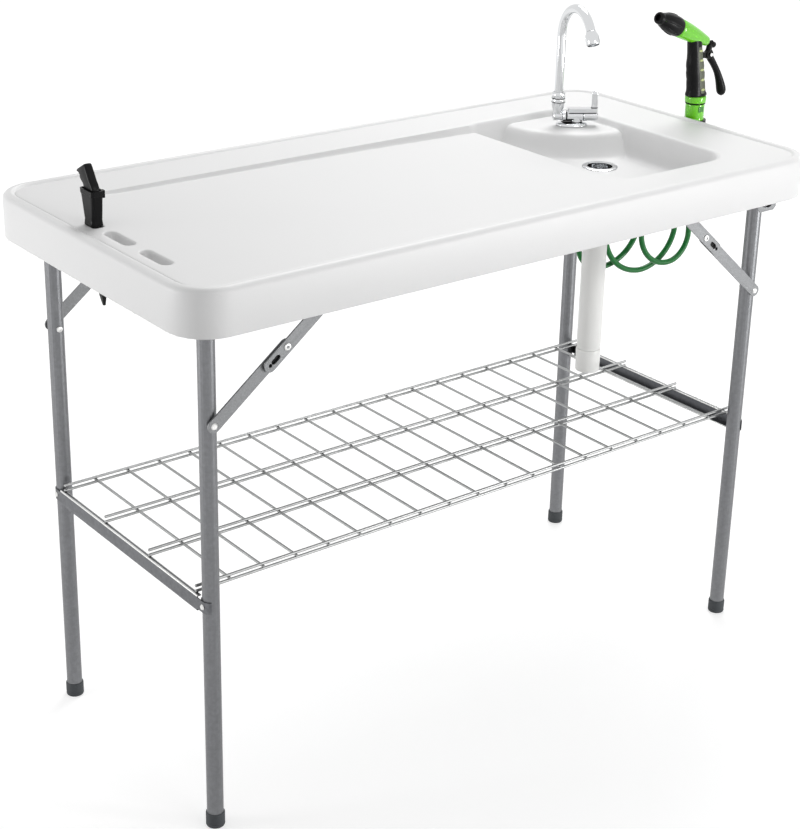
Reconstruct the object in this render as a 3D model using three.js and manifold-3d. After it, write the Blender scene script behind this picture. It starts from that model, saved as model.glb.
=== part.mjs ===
import * as THREE from 'three';
import { mergeVertices } from 'three/addons/utils/BufferGeometryUtils.js';
import Module from 'manifold-3d';

// A folding fish cleaning table: a moulded top with a sink, tool slots and a drip channel, two
// folding leg frames with locking braces, a wire rack, a folding tap, a drain, a hand sprayer on a
// looped hose, and a fillet knife in its sheath.
// Millimetres. X runs along the table, Y from the front edge to the rear edge, Z up from the floor.

const wasm = await Module();
wasm.setup();

// Shared fits
const clearance = 0.3;
const cutOverrun = 5;
const mergeTolerance = 1e-4;
const fullTurn = 2 * Math.PI;
const quarterTurn = Math.PI / 2;

// Table top
const topLength = 1220;
const topWidth = 584;
const topHeight = 880;
const apronDepth = 70;
const apronWall = 7;
const topCornerRadius = 62;
const topEdgeRadius = 10;
const lipWidth = 12;
const lipRise = 3;
const lipSlope = 5;
const panelThickness = 21;
const fieldHeight = topHeight - lipRise;
const undersideHeight = fieldHeight - panelThickness;
const apronBottom = topHeight - apronDepth;

// Sink basin and the shelf in its rear corner that carries the tap
const sinkLength = 251;
const sinkEndMargin = 130;
const sinkFrontMargin = 84;
const sinkRearMargin = 106;
const sinkRight = topLength / 2 - sinkEndMargin;
const sinkLeft = sinkRight - sinkLength;
const sinkFront = sinkFrontMargin - topWidth / 2;
const sinkRear = topWidth / 2 - sinkRearMargin;
const sinkDepth = 52;
const sinkDraft = 30;
const sinkCornerRadius = 45;
const sinkWall = 5;
const shelfDrop = 11;
const shelfRadius = 150;
const shelfEdgeRadius = 7;
const sinkFloor = fieldHeight - sinkDepth;
const shelfHeight = fieldHeight - shelfDrop;
// Depth below the field and inset from the rim, as shares of sinkDepth and sinkDraft
const sinkWallShares = [
  [0, -0.2], [0.06, -0.07], [0.14, 0.03], [0.6, 0.27], [0.85, 0.42], [0.97, 0.66], [1, 1],
];

// Drip channel behind the cutting area
const channelEndMargin = 136;
const channelRearMargin = 109;
const channelLeft = channelEndMargin - topLength / 2;
const channelRear = topWidth / 2 - channelRearMargin;
const channelWidth = 43;
const channelDepth = 15;
// Place along the channel, then width and depth there
const channelShares = [
  [0, 0.12, 0.06], [0.06, 0.26, 0.14], [0.4, 0.55, 0.3], [0.8, 0.86, 0.62], [1, 1, 1], [1.06, 1, 1.1],
];
// Across the channel and down it, from the rear edge to the front edge
const channelSectionShares = [[0, 0], [0.1, 0.6], [0.3, 1], [0.6, 1], [0.85, 0.6], [1, 0]];

// Tool slots
const slotEndMargin = 46.5;
const slotX = slotEndMargin - topLength / 2;
const slotWidth = 18;
const slotLength = 70;
const slotPitch = 100;
const slotMiddleY = -27.5;
const slotCount = 2;
const slotFlare = 0.8;
// The slot at the rear is shorter and holds the sheath
const sheathSlotWidth = 16.4;
const sheathSlotLength = 27.9;
const sheathSlotCorner = 4;
const sheathSlotY = 44.65;

// Leg frames
const legEndMargin = 65;
const legSideMargin = 71;
const legX = topLength / 2 - legEndMargin;
const legY = topWidth / 2 - legSideMargin;
const tubeRadius = 12.7;
const tubeWall = 1.3;
const pivotDrop = { left: 26, right: 57 };
const pivotEndGap = 2.5;
const footRadius = 14.5;
const footHeight = 24;
const footFloor = 5;
const footLipRadius = 1.5;

// Side rails under the top
const railGauge = 2;
const railHeight = 44;
const railFlange = 20;
const railEndMargin = 35;
const railLength = topLength - 2 * railEndMargin;
const railEarWidth = 44;
const railEarMargin = 6;
const railSideMargin = 46;
const railInset = topWidth / 2 - railSideMargin;

// Braces
const strapWidth = 20;
const strapGauge = 2.5;
const legToStrap = 2.8;
const strapGap = 2;
const strapLap = 46;
const detentReach = 36;
const detentRadius = 3;
const windowReach = 20;
const windowLength = 9;
const windowWidth = 8;
const rivetRadius = 3;
const rivetHeadRadius = 5.2;
const rivetHeadHeight = 1.4;
const lapHeadHeight = 1.7;
const pinHeadHeight = 1.2;
// Rivet below the pivot, anchor inboard of and above the pivot, and how flat the folded links lie
const brace = {
  left: { rivetDrop: 169, anchorRun: 206.4, anchorRise: -6.6, nestShare: 0.98 },
  right: { rivetDrop: 164, anchorRun: 229, anchorRise: 37, nestShare: 0.873 },
};

// Rack and the plates that carry it
const plateTop = 388.7;
const plateHeight = 24;
const plateGauge = 1.5;
const plateLip = 6;
const plateFlange = 14;
const clipMargin = 3;
const boltRadius = 2.5;
const boltHeadRadius = 4.5;
const boltHeadHeight = 1.8;
const boltReach = 6;
const wireRadius = 2;
const crossWireRadius = 1.9;
const weldDepth = 0.3;
const rackSideGap = 23;
const rackOverhang = 12;
const rackWidth = 2 * (legY - rackSideGap);
const rackReach = legX + rackOverhang;
const crossWireCount = 18;
const crossWireMargin = 57.2;
const crossWirePitch = 2 * (rackReach - crossWireMargin) / (crossWireCount - 1);
const crossWireTail = 4;
const longWireShares = [-1, -1 / 3, 1 / 3, 1];

// Drain
const drainEndMargin = 94;
const drainRearShift = 6;
const drainX = sinkRight - drainEndMargin;
const drainY = (sinkFront + sinkRear) / 2 + drainRearShift;
const drainLipRadius = 31;
const drainLipHeight = 2.2;
const drainBarrelRadius = 24;
const drainMouthRadius = 21.5;
const drainThroatRadius = 18.5;
const drainWall = 2;
const drainBarrelLength = 19;
const drainTaper = 5;
const drainThroatLength = 14;
const drainNutRadius = 32;
const drainNutHeight = 8;
const strainerHeight = 2;
const strainerSlots = 4;
const strainerSlotWidth = 4;
const strainerSlotPitch = 8.5;
const hosePipeRadius = 21.5;
const hoseCollarRadius = 22.2;
const hoseNeckRadius = 20.2;
const hoseRackGap = 59.3;
const hoseBottom = plateTop + hoseRackGap;
const hoseCollarLength = 42;
const hoseNeckLength = 7;

// Tap on the shelf
const tapEndMargin = 46;
const tapRearMargin = 74;
const tapX = sinkRight - tapEndMargin;
const tapY = sinkRear - tapRearMargin;
const tapAngle = -32 * Math.PI / 180;
const tapBaseLength = 57;
const tapBaseWidth = 40;
const tapBaseShift = -7;
const tapBaseHeight = 6;
const tapNeckRadius = 9;
const barrelRadius = 7.5;
const barrelRise = 17;
const barrelBodyLeft = -24.5;
const barrelBodyRight = 12;
const barrelJointRadius = 4;
const leverHubEnd = 38;
const leverPlateLeft = -16;
const leverPlateRise = 2;
const leverPlateThickness = 3;
const leverWidth = 12;
const leverHeight = 33;
const leverBladeWidth = 11;
const leverThickness = 5;
const spoutOffset = -33;
const spoutBlockRadius = 12;
const spoutBlockHeight = 26;
const spoutNutRadius = 11.5;
const spoutNutHeight = 18;
const spoutRadius = 8.2;
const spoutRise = 143;
const spoutArcRadius = 57;
const spoutArcSweep = 150 * Math.PI / 180;
const spoutHeading = 16 * Math.PI / 180;
const aeratorRadius = 12;
const aeratorLength = 24;
const shankRadius = 9.5;
const shankLength = 26;
const tapNutRadius = 19;
const tapNutHeight = 7;
const teeRadius = 13;
const teeHeight = 30;
const teeInletRadius = 11;
const teeInletLength = 30;
const teeBore = 8;
const barbRadius = 6.5;
const barbLength = 14;

// Spray hose: its loops lie in the plane of the table's long side, one behind another
const sprayHoseRadius = 5.1;
const loopSteps = 24;
const hoseSides = 6;
const loops = [
  { x: 466, y: 58, z: 668, radius: 60 },
  { x: 546, y: 36, z: 664, radius: 70 },
  { x: 592, y: 12, z: 656, radius: 49 },
];

// Sprayer and its holder on the right end of the apron
const holderReach = 24;
const holderX = topLength / 2 + holderReach;
const holderY = 15;
const holderDrop = 9.5;
const holderTop = topHeight - holderDrop;
const holderHeight = 38;
const holderWall = 4;
const holderFloor = 4;
const holderPlateWidth = 46;
const holderPlateDrop = 8;
const holderPlateGauge = 3;
const connectorRadius = 17.3;
const connectorRise = 28.7;
const connectorTop = holderTop + connectorRise;
const connectorTailRadius = 8.4;
const connectorTailLength = 12;
const connectorBore = 8.6;
const connectorBoreDepth = 22;
const collarRadius = 19.2;
const collarHeight = 14;
const plugRadius = 8.2;
const gripHeight = 96;
const gripLean = -14;
const headTilt = 23.8 * Math.PI / 180;
const headRise = 32.74;
const bodyLength = 82;
const gripPlaceShare = 0.60178;
const bodyFrontRadius = 16.5;
const bodyRearRadius = 9;
const nozzleLength = 56;
const valveRodRadius = 2;
const valveNutRadius = 5.5;
const valveNutLength = 8;
const valveRodReach = 22;
const triggerReach = 8.123;
const triggerDrop = 57.04;
const triggerWidth = 13;
const triggerLugWidth = 6;
const triggerPinRadius = 2;
const triggerEyeRadius = 6.5;
const triggerTipReach = 41;
const triggerTipDrop = 81;

// Knife and sheath in the rear slot, leaning back
const sheathLean = Math.tan(10 * Math.PI / 180);
const sheathY = 46.5;
const sheathRise = 53;
const sheathReach = 116;
const sheathWall = 1.8;
const sheathShoulder = 2;
const sheathTop = fieldHeight + sheathRise;
const sheathTip = fieldHeight - sheathReach;
const bladeRootDepth = 25;
const bladeTipGap = 10.5;
const bladeTop = sheathTop - bladeRootDepth;
const bladeTip = sheathTip + bladeTipGap;
const bladeThickness = 1.8;
const bladeWidth = 17.2;
const tangWidth = 9.2;
const tangLength = 12;
const handleSeatDepth = 36;
const handleRise = 29.5;
const handleBottom = sheathTop - handleSeatDepth;
const handleTop = sheathTop + handleRise;

const steel = { color: 0x73777c, roughness: 0.5, metalness: 0.5 };
const zinc = { color: 0xc9c7c0, roughness: 0.3, metalness: 0.9 };
const chrome = { color: 0xdadde0, roughness: 0.1, metalness: 1 };
const moulded = { color: 0xf1f1ef, roughness: 0.5, metalness: 0 };
const rubber = { color: 0x3a3d40, roughness: 0.8, metalness: 0 };
const blackPlastic = { color: 0x17181a, roughness: 0.4, metalness: 0 };
const limePlastic = { color: 0x5fc41f, roughness: 0.35, metalness: 0 };
const hoseGreen = { color: 0x2f8f4d, roughness: 0.5, metalness: 0 };
const whitePlastic = { color: 0xf2f1ec, roughness: 0.4, metalness: 0 };

const table = new THREE.Group();

function toSolid(geometry) {
  const bare = geometry.index ? geometry.toNonIndexed() : geometry.clone();
  bare.deleteAttribute('normal');
  bare.deleteAttribute('uv');
  const merged = mergeVertices(bare, mergeTolerance);
  const triangles = Uint32Array.from(merged.index.array);
  const kept = [];
  for (let i = 0; i < triangles.length; i += 3) {
    const [a, b, c] = triangles.slice(i, i + 3);
    if (a !== b && b !== c && c !== a) kept.push(a, b, c);
  }
  const vertProperties = new Float32Array(merged.attributes.position.array);
  const mesh = new wasm.Mesh({ numProp: 3, vertProperties, triVerts: new Uint32Array(kept) });
  return new wasm.Manifold(mesh);
}

function toGeometry(solid) {
  const mesh = solid.getMesh();
  const geometry = new THREE.BufferGeometry();
  geometry.setAttribute('position', new THREE.BufferAttribute(mesh.vertProperties, 3));
  geometry.setIndex(new THREE.BufferAttribute(mesh.triVerts, 1));
  geometry.computeVertexNormals();
  return geometry;
}

function join(solids) {
  return solids.reduce((sum, solid) => sum.add(solid));
}

function addPiece(name, shape, finish, parent = table) {
  const geometry = shape.isBufferGeometry ? shape : toGeometry(shape);
  const mesh = new THREE.Mesh(geometry, new THREE.MeshStandardMaterial(finish));
  mesh.name = name;
  parent.add(mesh);
  return mesh;
}

function ring(cx, cy, z, halfX, halfY, radius, arcSteps = 5) {
  const points = [];
  const corners = [[1, 1], [-1, 1], [-1, -1], [1, -1]];
  corners.forEach(([signX, signY], corner) => {
    for (let step = 0; step <= arcSteps; step += 1) {
      const angle = (corner + step / arcSteps) * quarterTurn;
      const x = cx + signX * (halfX - radius) + radius * Math.cos(angle);
      const y = cy + signY * (halfY - radius) + radius * Math.sin(angle);
      points.push(new THREE.Vector3(x, y, z));
    }
  });
  return points;
}

function oval(cx, cy, z, halfX, halfY, sides = 20) {
  const points = [];
  for (let side = 0; side < sides; side += 1) {
    const angle = fullTurn * side / sides;
    points.push(new THREE.Vector3(cx + halfX * Math.cos(angle), cy + halfY * Math.sin(angle), z));
  }
  return points;
}

function loft(rings) {
  const count = rings[0].length;
  const points = rings.flat();
  const last = (rings.length - 1) * count;
  const middles = [rings[0], rings.at(-1)].map((points) => points
    .reduce((sum, point) => sum.add(point), new THREE.Vector3()).divideScalar(count));
  points.push(...middles);
  const faces = [];
  for (let side = 0; side < count; side += 1) {
    const next = (side + 1) % count;
    for (let level = 0; level < last; level += count) {
      faces.push([level + side, level + next, level + count + next]);
      faces.push([level + side, level + count + next, level + count + side]);
    }
    faces.push([points.length - 2, next, side]);
    faces.push([points.length - 1, last + side, last + next]);
  }
  const volume = faces.reduce((sum, [a, b, c]) => (
    sum + points[a].dot(new THREE.Vector3().crossVectors(points[b], points[c]))), 0);
  const index = volume < 0 ? faces.map(([a, b, c]) => [a, c, b]) : faces;
  const geometry = new THREE.BufferGeometry().setFromPoints(points);
  geometry.setIndex(index.flat());
  return toSolid(geometry);
}

function box(x0, x1, y0, y1, z0, z1) {
  const geometry = new THREE.BoxGeometry(x1 - x0, y1 - y0, z1 - z0);
  return toSolid(geometry.translate((x0 + x1) / 2, (y0 + y1) / 2, (z0 + z1) / 2));
}

function rod(start, end, radius, sides = 16, endRadius = radius) {
  const from = new THREE.Vector3(...start);
  const to = new THREE.Vector3(...end);
  const axis = new THREE.Vector3().subVectors(to, from);
  const geometry = new THREE.CylinderGeometry(endRadius, radius, axis.length(), sides);
  const turn = new THREE.Quaternion().setFromUnitVectors(new THREE.Vector3(0, 1, 0), axis.clone().normalize());
  geometry.applyQuaternion(turn);
  geometry.translate(...from.add(to).divideScalar(2));
  return toSolid(geometry);
}

function pipe(start, end, radius, wall, sides = 20) {
  const axis = new THREE.Vector3(...end).sub(new THREE.Vector3(...start)).setLength(cutOverrun);
  const below = new THREE.Vector3(...start).sub(axis);
  const above = new THREE.Vector3(...end).add(axis);
  return rod(start, end, radius, sides).subtract(rod(below, above, radius - wall, sides));
}

function turned(profile, x, y, sides = 24) {
  const points = profile.map(([radius, z]) => new THREE.Vector2(radius, z));
  if (THREE.ShapeUtils.area(points) < 0) points.reverse();
  const geometry = new THREE.LatheGeometry([...points, points[0]], sides);
  return toSolid(geometry.rotateX(quarterTurn).translate(x, y, 0));
}

// An outline drawn in X and Z, given its thickness along Y
function panel(outline, y0, y1, curveSegments = 5) {
  const thickness = Math.abs(y1 - y0);
  const geometry = new THREE.ExtrudeGeometry(outline, { depth: thickness, bevelEnabled: false, curveSegments });
  return toSolid(geometry.rotateX(quarterTurn).translate(0, Math.max(y0, y1), 0));
}

function strap(start, end, halfWidth) {
  const angle = Math.atan2(end.y - start.y, end.x - start.x);
  const outline = new THREE.Shape();
  outline.absarc(end.x, end.y, halfWidth, angle - quarterTurn, angle + quarterTurn, false);
  outline.absarc(start.x, start.y, halfWidth, angle + quarterTurn, angle + 3 * quarterTurn, false);
  outline.closePath();
  return outline;
}

function roundHole(outline, centre, radius) {
  const hole = new THREE.Path();
  hole.absarc(centre.x, centre.y, radius, 0, fullTurn, true);
  outline.holes.push(hole);
}

function along(start, end, distance) {
  return end.clone().sub(start).setLength(distance).add(start);
}

// The moulded top

function basinRings(grow, drop) {
  const centreX = (sinkLeft + sinkRight) / 2;
  const centreY = (sinkFront + sinkRear) / 2;
  const halfX = (sinkRight - sinkLeft) / 2 + grow;
  const halfY = (sinkRear - sinkFront) / 2 + grow;
  return sinkWallShares.map(([depthShare, insetShare]) => {
    const inset = sinkDraft * insetShare;
    const z = fieldHeight - drop - sinkDepth * depthShare;
    return ring(centreX, centreY, z, halfX - inset, halfY - inset, sinkCornerRadius + grow - inset / 2, 6);
  });
}

function shelfBlock(radius, top, edge) {
  const profile = [
    [0, sinkFloor - sinkDepth], [radius + edge, sinkFloor - sinkDepth], [radius + edge, sinkFloor],
    [radius, top - edge], [radius - edge / 3, top - edge / 3], [radius - edge, top], [0, top],
  ];
  return turned(profile, sinkRight, sinkRear, 48);
}

function basinVoid() {
  const rings = basinRings(0, 0);
  const mouth = rings[0].map((point) => point.clone().setZ(topHeight + cutOverrun));
  return loft([mouth, ...rings]).subtract(shelfBlock(shelfRadius, shelfHeight, shelfEdgeRadius));
}

function basinShell() {
  const rings = basinRings(sinkWall, sinkWall);
  return loft(rings).subtract(shelfBlock(shelfRadius - sinkWall, undersideHeight, shelfEdgeRadius));
}

function dripChannel() {
  const length = sinkLeft - channelLeft;
  return loft(channelShares.map(([alongShare, widthShare, depthShare]) => {
    const x = channelLeft + length * alongShare;
    const at = (acrossShare, z) => new THREE.Vector3(x, channelRear - channelWidth * widthShare * acrossShare, z);
    const floor = channelSectionShares.map(([acrossShare, downShare]) => (
      at(acrossShare, fieldHeight - channelDepth * depthShare * downShare)));
    return [at(0, topHeight + cutOverrun), ...floor, at(1, topHeight + cutOverrun)];
  }));
}

function toolSlot(y, width, length, corner) {
  const half = width / 2;
  const levels = [
    [topHeight + cutOverrun, slotFlare], [fieldHeight, slotFlare],
    [fieldHeight - lipRise, 0], [undersideHeight - cutOverrun, 0],
  ];
  return loft(levels.map(([z, flare]) => (
    ring(slotX, y, z, half + flare, length / 2 + flare, corner + flare))));
}

function topBlank() {
  const halfX = topLength / 2;
  const halfY = topWidth / 2;
  const edgeSteps = [0, 1 / 3, 2 / 3, 1];
  const rings = [ring(0, 0, apronBottom, halfX, halfY, topCornerRadius, 8)];
  edgeSteps.forEach((share) => {
    const inset = topEdgeRadius * (1 - Math.cos(share * quarterTurn));
    const z = topHeight - topEdgeRadius * (1 - Math.sin(share * quarterTurn));
    rings.push(ring(0, 0, z, halfX - inset, halfY - inset, topCornerRadius - inset, 8));
  });
  const cavity = [apronBottom - cutOverrun, undersideHeight].map((z) => (
    ring(0, 0, z, halfX - apronWall, halfY - apronWall, topCornerRadius - apronWall, 8)));
  const field = [[topHeight + cutOverrun, lipWidth], [topHeight, lipWidth], [fieldHeight, lipWidth + lipSlope]]
    .map(([z, inset]) => ring(0, 0, z, halfX - inset, halfY - inset, topCornerRadius - inset, 8));
  return loft(rings).subtract(loft(cavity)).subtract(loft(field));
}

function makeTop() {
  const sheathSlot = toolSlot(sheathSlotY, sheathSlotWidth, sheathSlotLength, sheathSlotCorner);
  let top = topBlank().add(basinShell()).subtract(basinVoid()).subtract(dripChannel()).subtract(sheathSlot);
  for (let slot = 0; slot < slotCount; slot += 1) {
    top = top.subtract(toolSlot(slotMiddleY - slot * slotPitch, slotWidth, slotLength, slotWidth / 2));
  }
  const drainHole = rod([drainX, drainY, sinkFloor - sinkDepth], [drainX, drainY, fieldHeight],
    drainBarrelRadius + clearance, 28);
  const tapHole = rod([tapX, tapY, sinkFloor], [tapX, tapY, topHeight], shankRadius + clearance, 20);
  return top.subtract(drainHole).subtract(tapHole);
}

addPiece('tabletop', makeTop(), moulded);

// Geometry that the frames, braces and rails share

const sides = { left: -1, right: 1 };
const faces = { front: -1, rear: 1 };
const innerLinkY = legY + tubeRadius + legToStrap;
const outerLinkY = innerLinkY + strapGauge + strapGap;

function frameLayout(side) {
  const sign = sides[side];
  const { rivetDrop, anchorRun, anchorRise, nestShare } = brace[side];
  const pivot = new THREE.Vector2(sign * legX, undersideHeight - pivotDrop[side]);
  const rivet = new THREE.Vector2(pivot.x, pivot.y - rivetDrop);
  const anchor = new THREE.Vector2(pivot.x - sign * anchorRun, pivot.y + anchorRise);
  const foldedRivet = new THREE.Vector2(pivot.x - sign * rivetDrop, pivot.y);
  const lowerLength = (rivet.distanceTo(anchor) + nestShare * foldedRivet.distanceTo(anchor)) / 2;
  return { sign, pivot, rivet, anchor, knee: along(rivet, anchor, lowerLength) };
}

const layouts = { left: frameLayout('left'), right: frameLayout('right') };

// Side rails: an angle under each long edge, with an eye for each pivot tube and a pin for each brace

function railOutline() {
  const outline = new THREE.Shape();
  const half = railLength / 2;
  const bottom = undersideHeight - railHeight;
  const earHalf = railEarWidth / 2;
  const earX = layouts.right.pivot.x;
  const earBottom = layouts.right.pivot.y - tubeRadius - railEarMargin;
  const corner = railEarMargin;
  const top = undersideHeight - clearance;
  [[-half, top], [-half, bottom + corner], [-half + corner, bottom], [earX - earHalf - corner, bottom],
    [earX - earHalf, earBottom + corner], [earX - earHalf + corner, earBottom],
    [earX + earHalf - corner, earBottom], [earX + earHalf, earBottom + corner],
    [earX + earHalf, bottom], [half, bottom + corner], [half, top],
  ].forEach(([x, z], place) => (place ? outline.lineTo(x, z) : outline.moveTo(x, z)));
  outline.closePath();
  Object.values(layouts).forEach(({ pivot }) => roundHole(outline, pivot, tubeRadius + clearance));
  return outline;
}

function makeRail(face) {
  const sign = faces[face];
  const inner = sign * railInset;
  const outer = sign * (railInset + railGauge);
  const flangeEnd = sign * (railInset + railGauge + railFlange);
  const top = undersideHeight - clearance;
  const span = [inner, flangeEnd].sort((a, b) => a - b);
  const pins = Object.values(layouts).flatMap(({ anchor }) => {
    const linkInner = sign * (outerLinkY - clearance);
    const headEnd = sign * (outerLinkY - clearance - pinHeadHeight);
    return [
      rod([anchor.x, headEnd, anchor.y], [anchor.x, outer, anchor.y], rivetRadius - clearance, 12),
      rod([anchor.x, headEnd, anchor.y], [anchor.x, linkInner, anchor.y], rivetHeadRadius, 12),
    ];
  });
  return join([
    panel(railOutline(), inner, outer, 12),
    box(-railLength / 2, railLength / 2, span[0], span[1], top - railGauge, top),
    ...pins,
  ]);
}

Object.keys(faces).forEach((face) => addPiece(`side_rail_${face}`, makeRail(face), steel));

// Leg frames

function makeLeg(layout, face) {
  const x = layout.pivot.x;
  const y = faces[face] * legY;
  const outward = faces[face] * (tubeRadius + cutOverrun);
  const plateMiddle = plateTop - plateHeight / 2;
  const tube = pipe([x, y, footFloor + clearance], [x, y, layout.pivot.y], tubeRadius, tubeWall);
  const cope = rod([x, -topWidth, layout.pivot.y], [x, topWidth, layout.pivot.y], tubeRadius + clearance, 20);
  const rivetHole = rod([x, y, layout.rivet.y], [x, y + outward, layout.rivet.y], rivetRadius + clearance, 12);
  const boltHole = rod([x, y, plateMiddle], [x + layout.sign * (tubeRadius + cutOverrun), y, plateMiddle],
    boltRadius + clearance, 12);
  return tube.subtract(cope).subtract(rivetHole).subtract(boltHole);
}

function makePivotTube(layout) {
  const reach = railInset + railGauge + pivotEndGap;
  const { x, y: z } = layout.pivot;
  return pipe([x, -reach, z], [x, reach, z], tubeRadius, tubeWall);
}

function makeFoot(layout, face) {
  const inner = tubeRadius + clearance;
  const profile = [
    [0, 0], [footRadius - footLipRadius, 0], [footRadius, footLipRadius],
    [footRadius, footHeight - footLipRadius], [footRadius - footLipRadius / 2, footHeight],
    [inner, footHeight], [inner, footFloor], [0, footFloor],
  ];
  return turned(profile, layout.pivot.x, faces[face] * legY, 24);
}

function makeLegRivet(layout, face) {
  const sign = faces[face];
  const { x, y: z } = layout.rivet;
  const at = (distance) => [x, sign * distance, z];
  const tubeFace = legY + tubeRadius;
  const headStart = innerLinkY + strapGauge + clearance;
  return join([
    rod(at(tubeFace - tubeWall), at(headStart), rivetRadius - clearance, 12),
    rod(at(tubeFace + clearance), at(innerLinkY - clearance), rivetHeadRadius, 12),
    rod(at(headStart), at(headStart + rivetHeadHeight), rivetHeadRadius, 12, rivetHeadRadius * 0.7),
  ]);
}

// Lower link from the leg rivet to the knee, with the slot that the upper link's tongue snaps into
function makeLowerLink(layout, face) {
  const sign = faces[face];
  const outline = strap(layout.rivet, layout.knee, strapWidth / 2);
  roundHole(outline, layout.rivet, rivetRadius + clearance);
  roundHole(outline, layout.knee, rivetRadius + clearance);
  roundHole(outline, along(layout.knee, layout.rivet, detentReach), detentRadius);
  return panel(outline, sign * innerLinkY, sign * (innerLinkY + strapGauge));
}

// Upper link from the tail that laps the lower link, past the knee rivet, to the rail's pin
function makeUpperLink(layout, face) {
  const sign = faces[face];
  const { knee, anchor, rivet } = layout;
  const half = strapWidth / 2;
  const tail = along(knee, rivet, strapLap - half);
  const outline = strap(tail, anchor, half);
  roundHole(outline, anchor, rivetRadius);
  roundHole(outline, along(knee, rivet, detentReach), detentRadius);
  const windowStart = along(knee, rivet, windowReach);
  const windowEnd = along(knee, rivet, windowReach + windowLength);
  outline.holes.push(new THREE.Path(strap(windowStart, windowEnd, windowWidth / 2).getPoints(3).reverse()));
  const plate = panel(outline, sign * outerLinkY, sign * (outerLinkY + strapGauge));
  const headStart = sign * (outerLinkY + strapGauge);
  const headEnd = sign * (outerLinkY + strapGauge + lapHeadHeight);
  const head = rod([knee.x, headStart - sign * clearance, knee.y], [knee.x, headEnd, knee.y],
    rivetHeadRadius, 12, rivetHeadRadius * 0.8);
  return plate.add(head);
}

// Channel across a leg frame, lying against the outside of both legs
function makeRackPlate(layout) {
  const { sign } = layout;
  const face = layout.pivot.x + sign * (tubeRadius + clearance + plateGauge);
  const bottom = plateTop - plateHeight;
  const spanY = legY - tubeRadius - plateGauge;
  const inward = (distance) => face - sign * distance;
  const slab = (near, far, y, z0, z1) => {
    const [x0, x1] = [inward(near), inward(far)].sort((a, b) => a - b);
    return box(x0, x1, -y, y, z0, z1);
  };
  const clips = Object.values(faces).map((faceSign) => {
    const centre = [layout.pivot.x, faceSign * legY];
    const outer = rod([...centre, bottom + clipMargin], [...centre, plateTop - clipMargin],
      tubeRadius + clearance + plateGauge, 24);
    const bore = rod([...centre, bottom], [...centre, plateTop], tubeRadius + clearance, 24);
    const keep = slab(0, tubeRadius * 0.6, topWidth, bottom, plateTop);
    const bolt = rod([layout.pivot.x, centre[1], (bottom + plateTop) / 2],
      [face + sign * cutOverrun, centre[1], (bottom + plateTop) / 2], boltRadius + clearance, 12);
    return { clip: outer.subtract(bore).intersect(keep), bolt };
  });
  const channel = join([
    slab(0, plateGauge, spanY, bottom, plateTop),
    slab(0, plateGauge, legY, bottom + clipMargin, plateTop - clipMargin),
    slab(0, plateLip, spanY, plateTop - plateGauge, plateTop),
    slab(0, plateFlange, spanY, bottom, bottom + plateGauge),
    ...clips.map(({ clip }) => clip),
  ]);
  return clips.reduce((plate, { bolt }) => plate.subtract(bolt), channel);
}

function makePlateBolt(layout, face) {
  const { sign } = layout;
  const seat = layout.pivot.x + sign * (tubeRadius + 2 * clearance + plateGauge);
  const z = plateTop - plateHeight / 2;
  const y = faces[face] * legY;
  return join([
    rod([seat - sign * boltReach, y, z], [seat, y, z], boltRadius, 12),
    rod([seat, y, z], [seat + sign * boltHeadHeight, y, z], boltHeadRadius, 12, boltHeadRadius * 0.7),
  ]);
}

Object.entries(layouts).forEach(([side, layout]) => {
  addPiece(`${side}_pivot_tube`, makePivotTube(layout), steel);
  addPiece(`${side}_rack_plate`, makeRackPlate(layout), steel);
  Object.keys(faces).forEach((face) => {
    addPiece(`leg_${side}_${face}`, makeLeg(layout, face), steel);
    addPiece(`foot_${side}_${face}`, makeFoot(layout, face), rubber);
    addPiece(`leg_rivet_${side}_${face}`, makeLegRivet(layout, face), zinc);
    addPiece(`plate_bolt_${side}_${face}`, makePlateBolt(layout, face), zinc);
    addPiece(`lower_link_${side}_${face}`, makeLowerLink(layout, face), steel);
    addPiece(`upper_link_${side}_${face}`, makeUpperLink(layout, face), steel);
  });
});

// Wire rack: paired long wires with the cross wires welded between them

function makeRack() {
  const lowerZ = plateTop + clearance + wireRadius;
  const crossZ = lowerZ + wireRadius + crossWireRadius - weldDepth;
  const upperZ = crossZ + crossWireRadius + wireRadius - weldDepth;
  const wires = longWireShares.flatMap((share) => {
    const y = share * rackWidth / 2;
    return [lowerZ, upperZ].map((z) => rod([-rackReach, y, z], [rackReach, y, z], wireRadius, 6));
  });
  const reach = rackWidth / 2 + crossWireTail;
  for (let wire = 0; wire < crossWireCount; wire += 1) {
    const x = (wire - (crossWireCount - 1) / 2) * crossWirePitch;
    wires.push(rod([x, -reach, crossZ], [x, reach, crossZ], crossWireRadius, 6));
  }
  return join(wires);
}

addPiece('wire_rack', makeRack(), zinc);

// Drain

const flangeSeat = sinkFloor + clearance;
const barrelBottom = flangeSeat - drainBarrelLength;
const throatTop = barrelBottom - drainTaper;
const throatBottom = throatTop - drainThroatLength;
const nutTop = sinkFloor - sinkWall - clearance;

function makeDrainFlange() {
  return turned([
    [drainLipRadius, flangeSeat], [drainLipRadius - drainWall / 2, flangeSeat + drainLipHeight / 2],
    [drainMouthRadius + drainWall, flangeSeat + drainLipHeight],
    [drainMouthRadius, flangeSeat + drainLipHeight / 2],
    [drainMouthRadius, barrelBottom], [drainThroatRadius - drainWall, throatTop],
    [drainThroatRadius - drainWall, throatBottom], [drainThroatRadius, throatBottom],
    [drainThroatRadius, throatTop], [drainBarrelRadius, barrelBottom], [drainBarrelRadius, flangeSeat],
  ], drainX, drainY);
}

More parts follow.
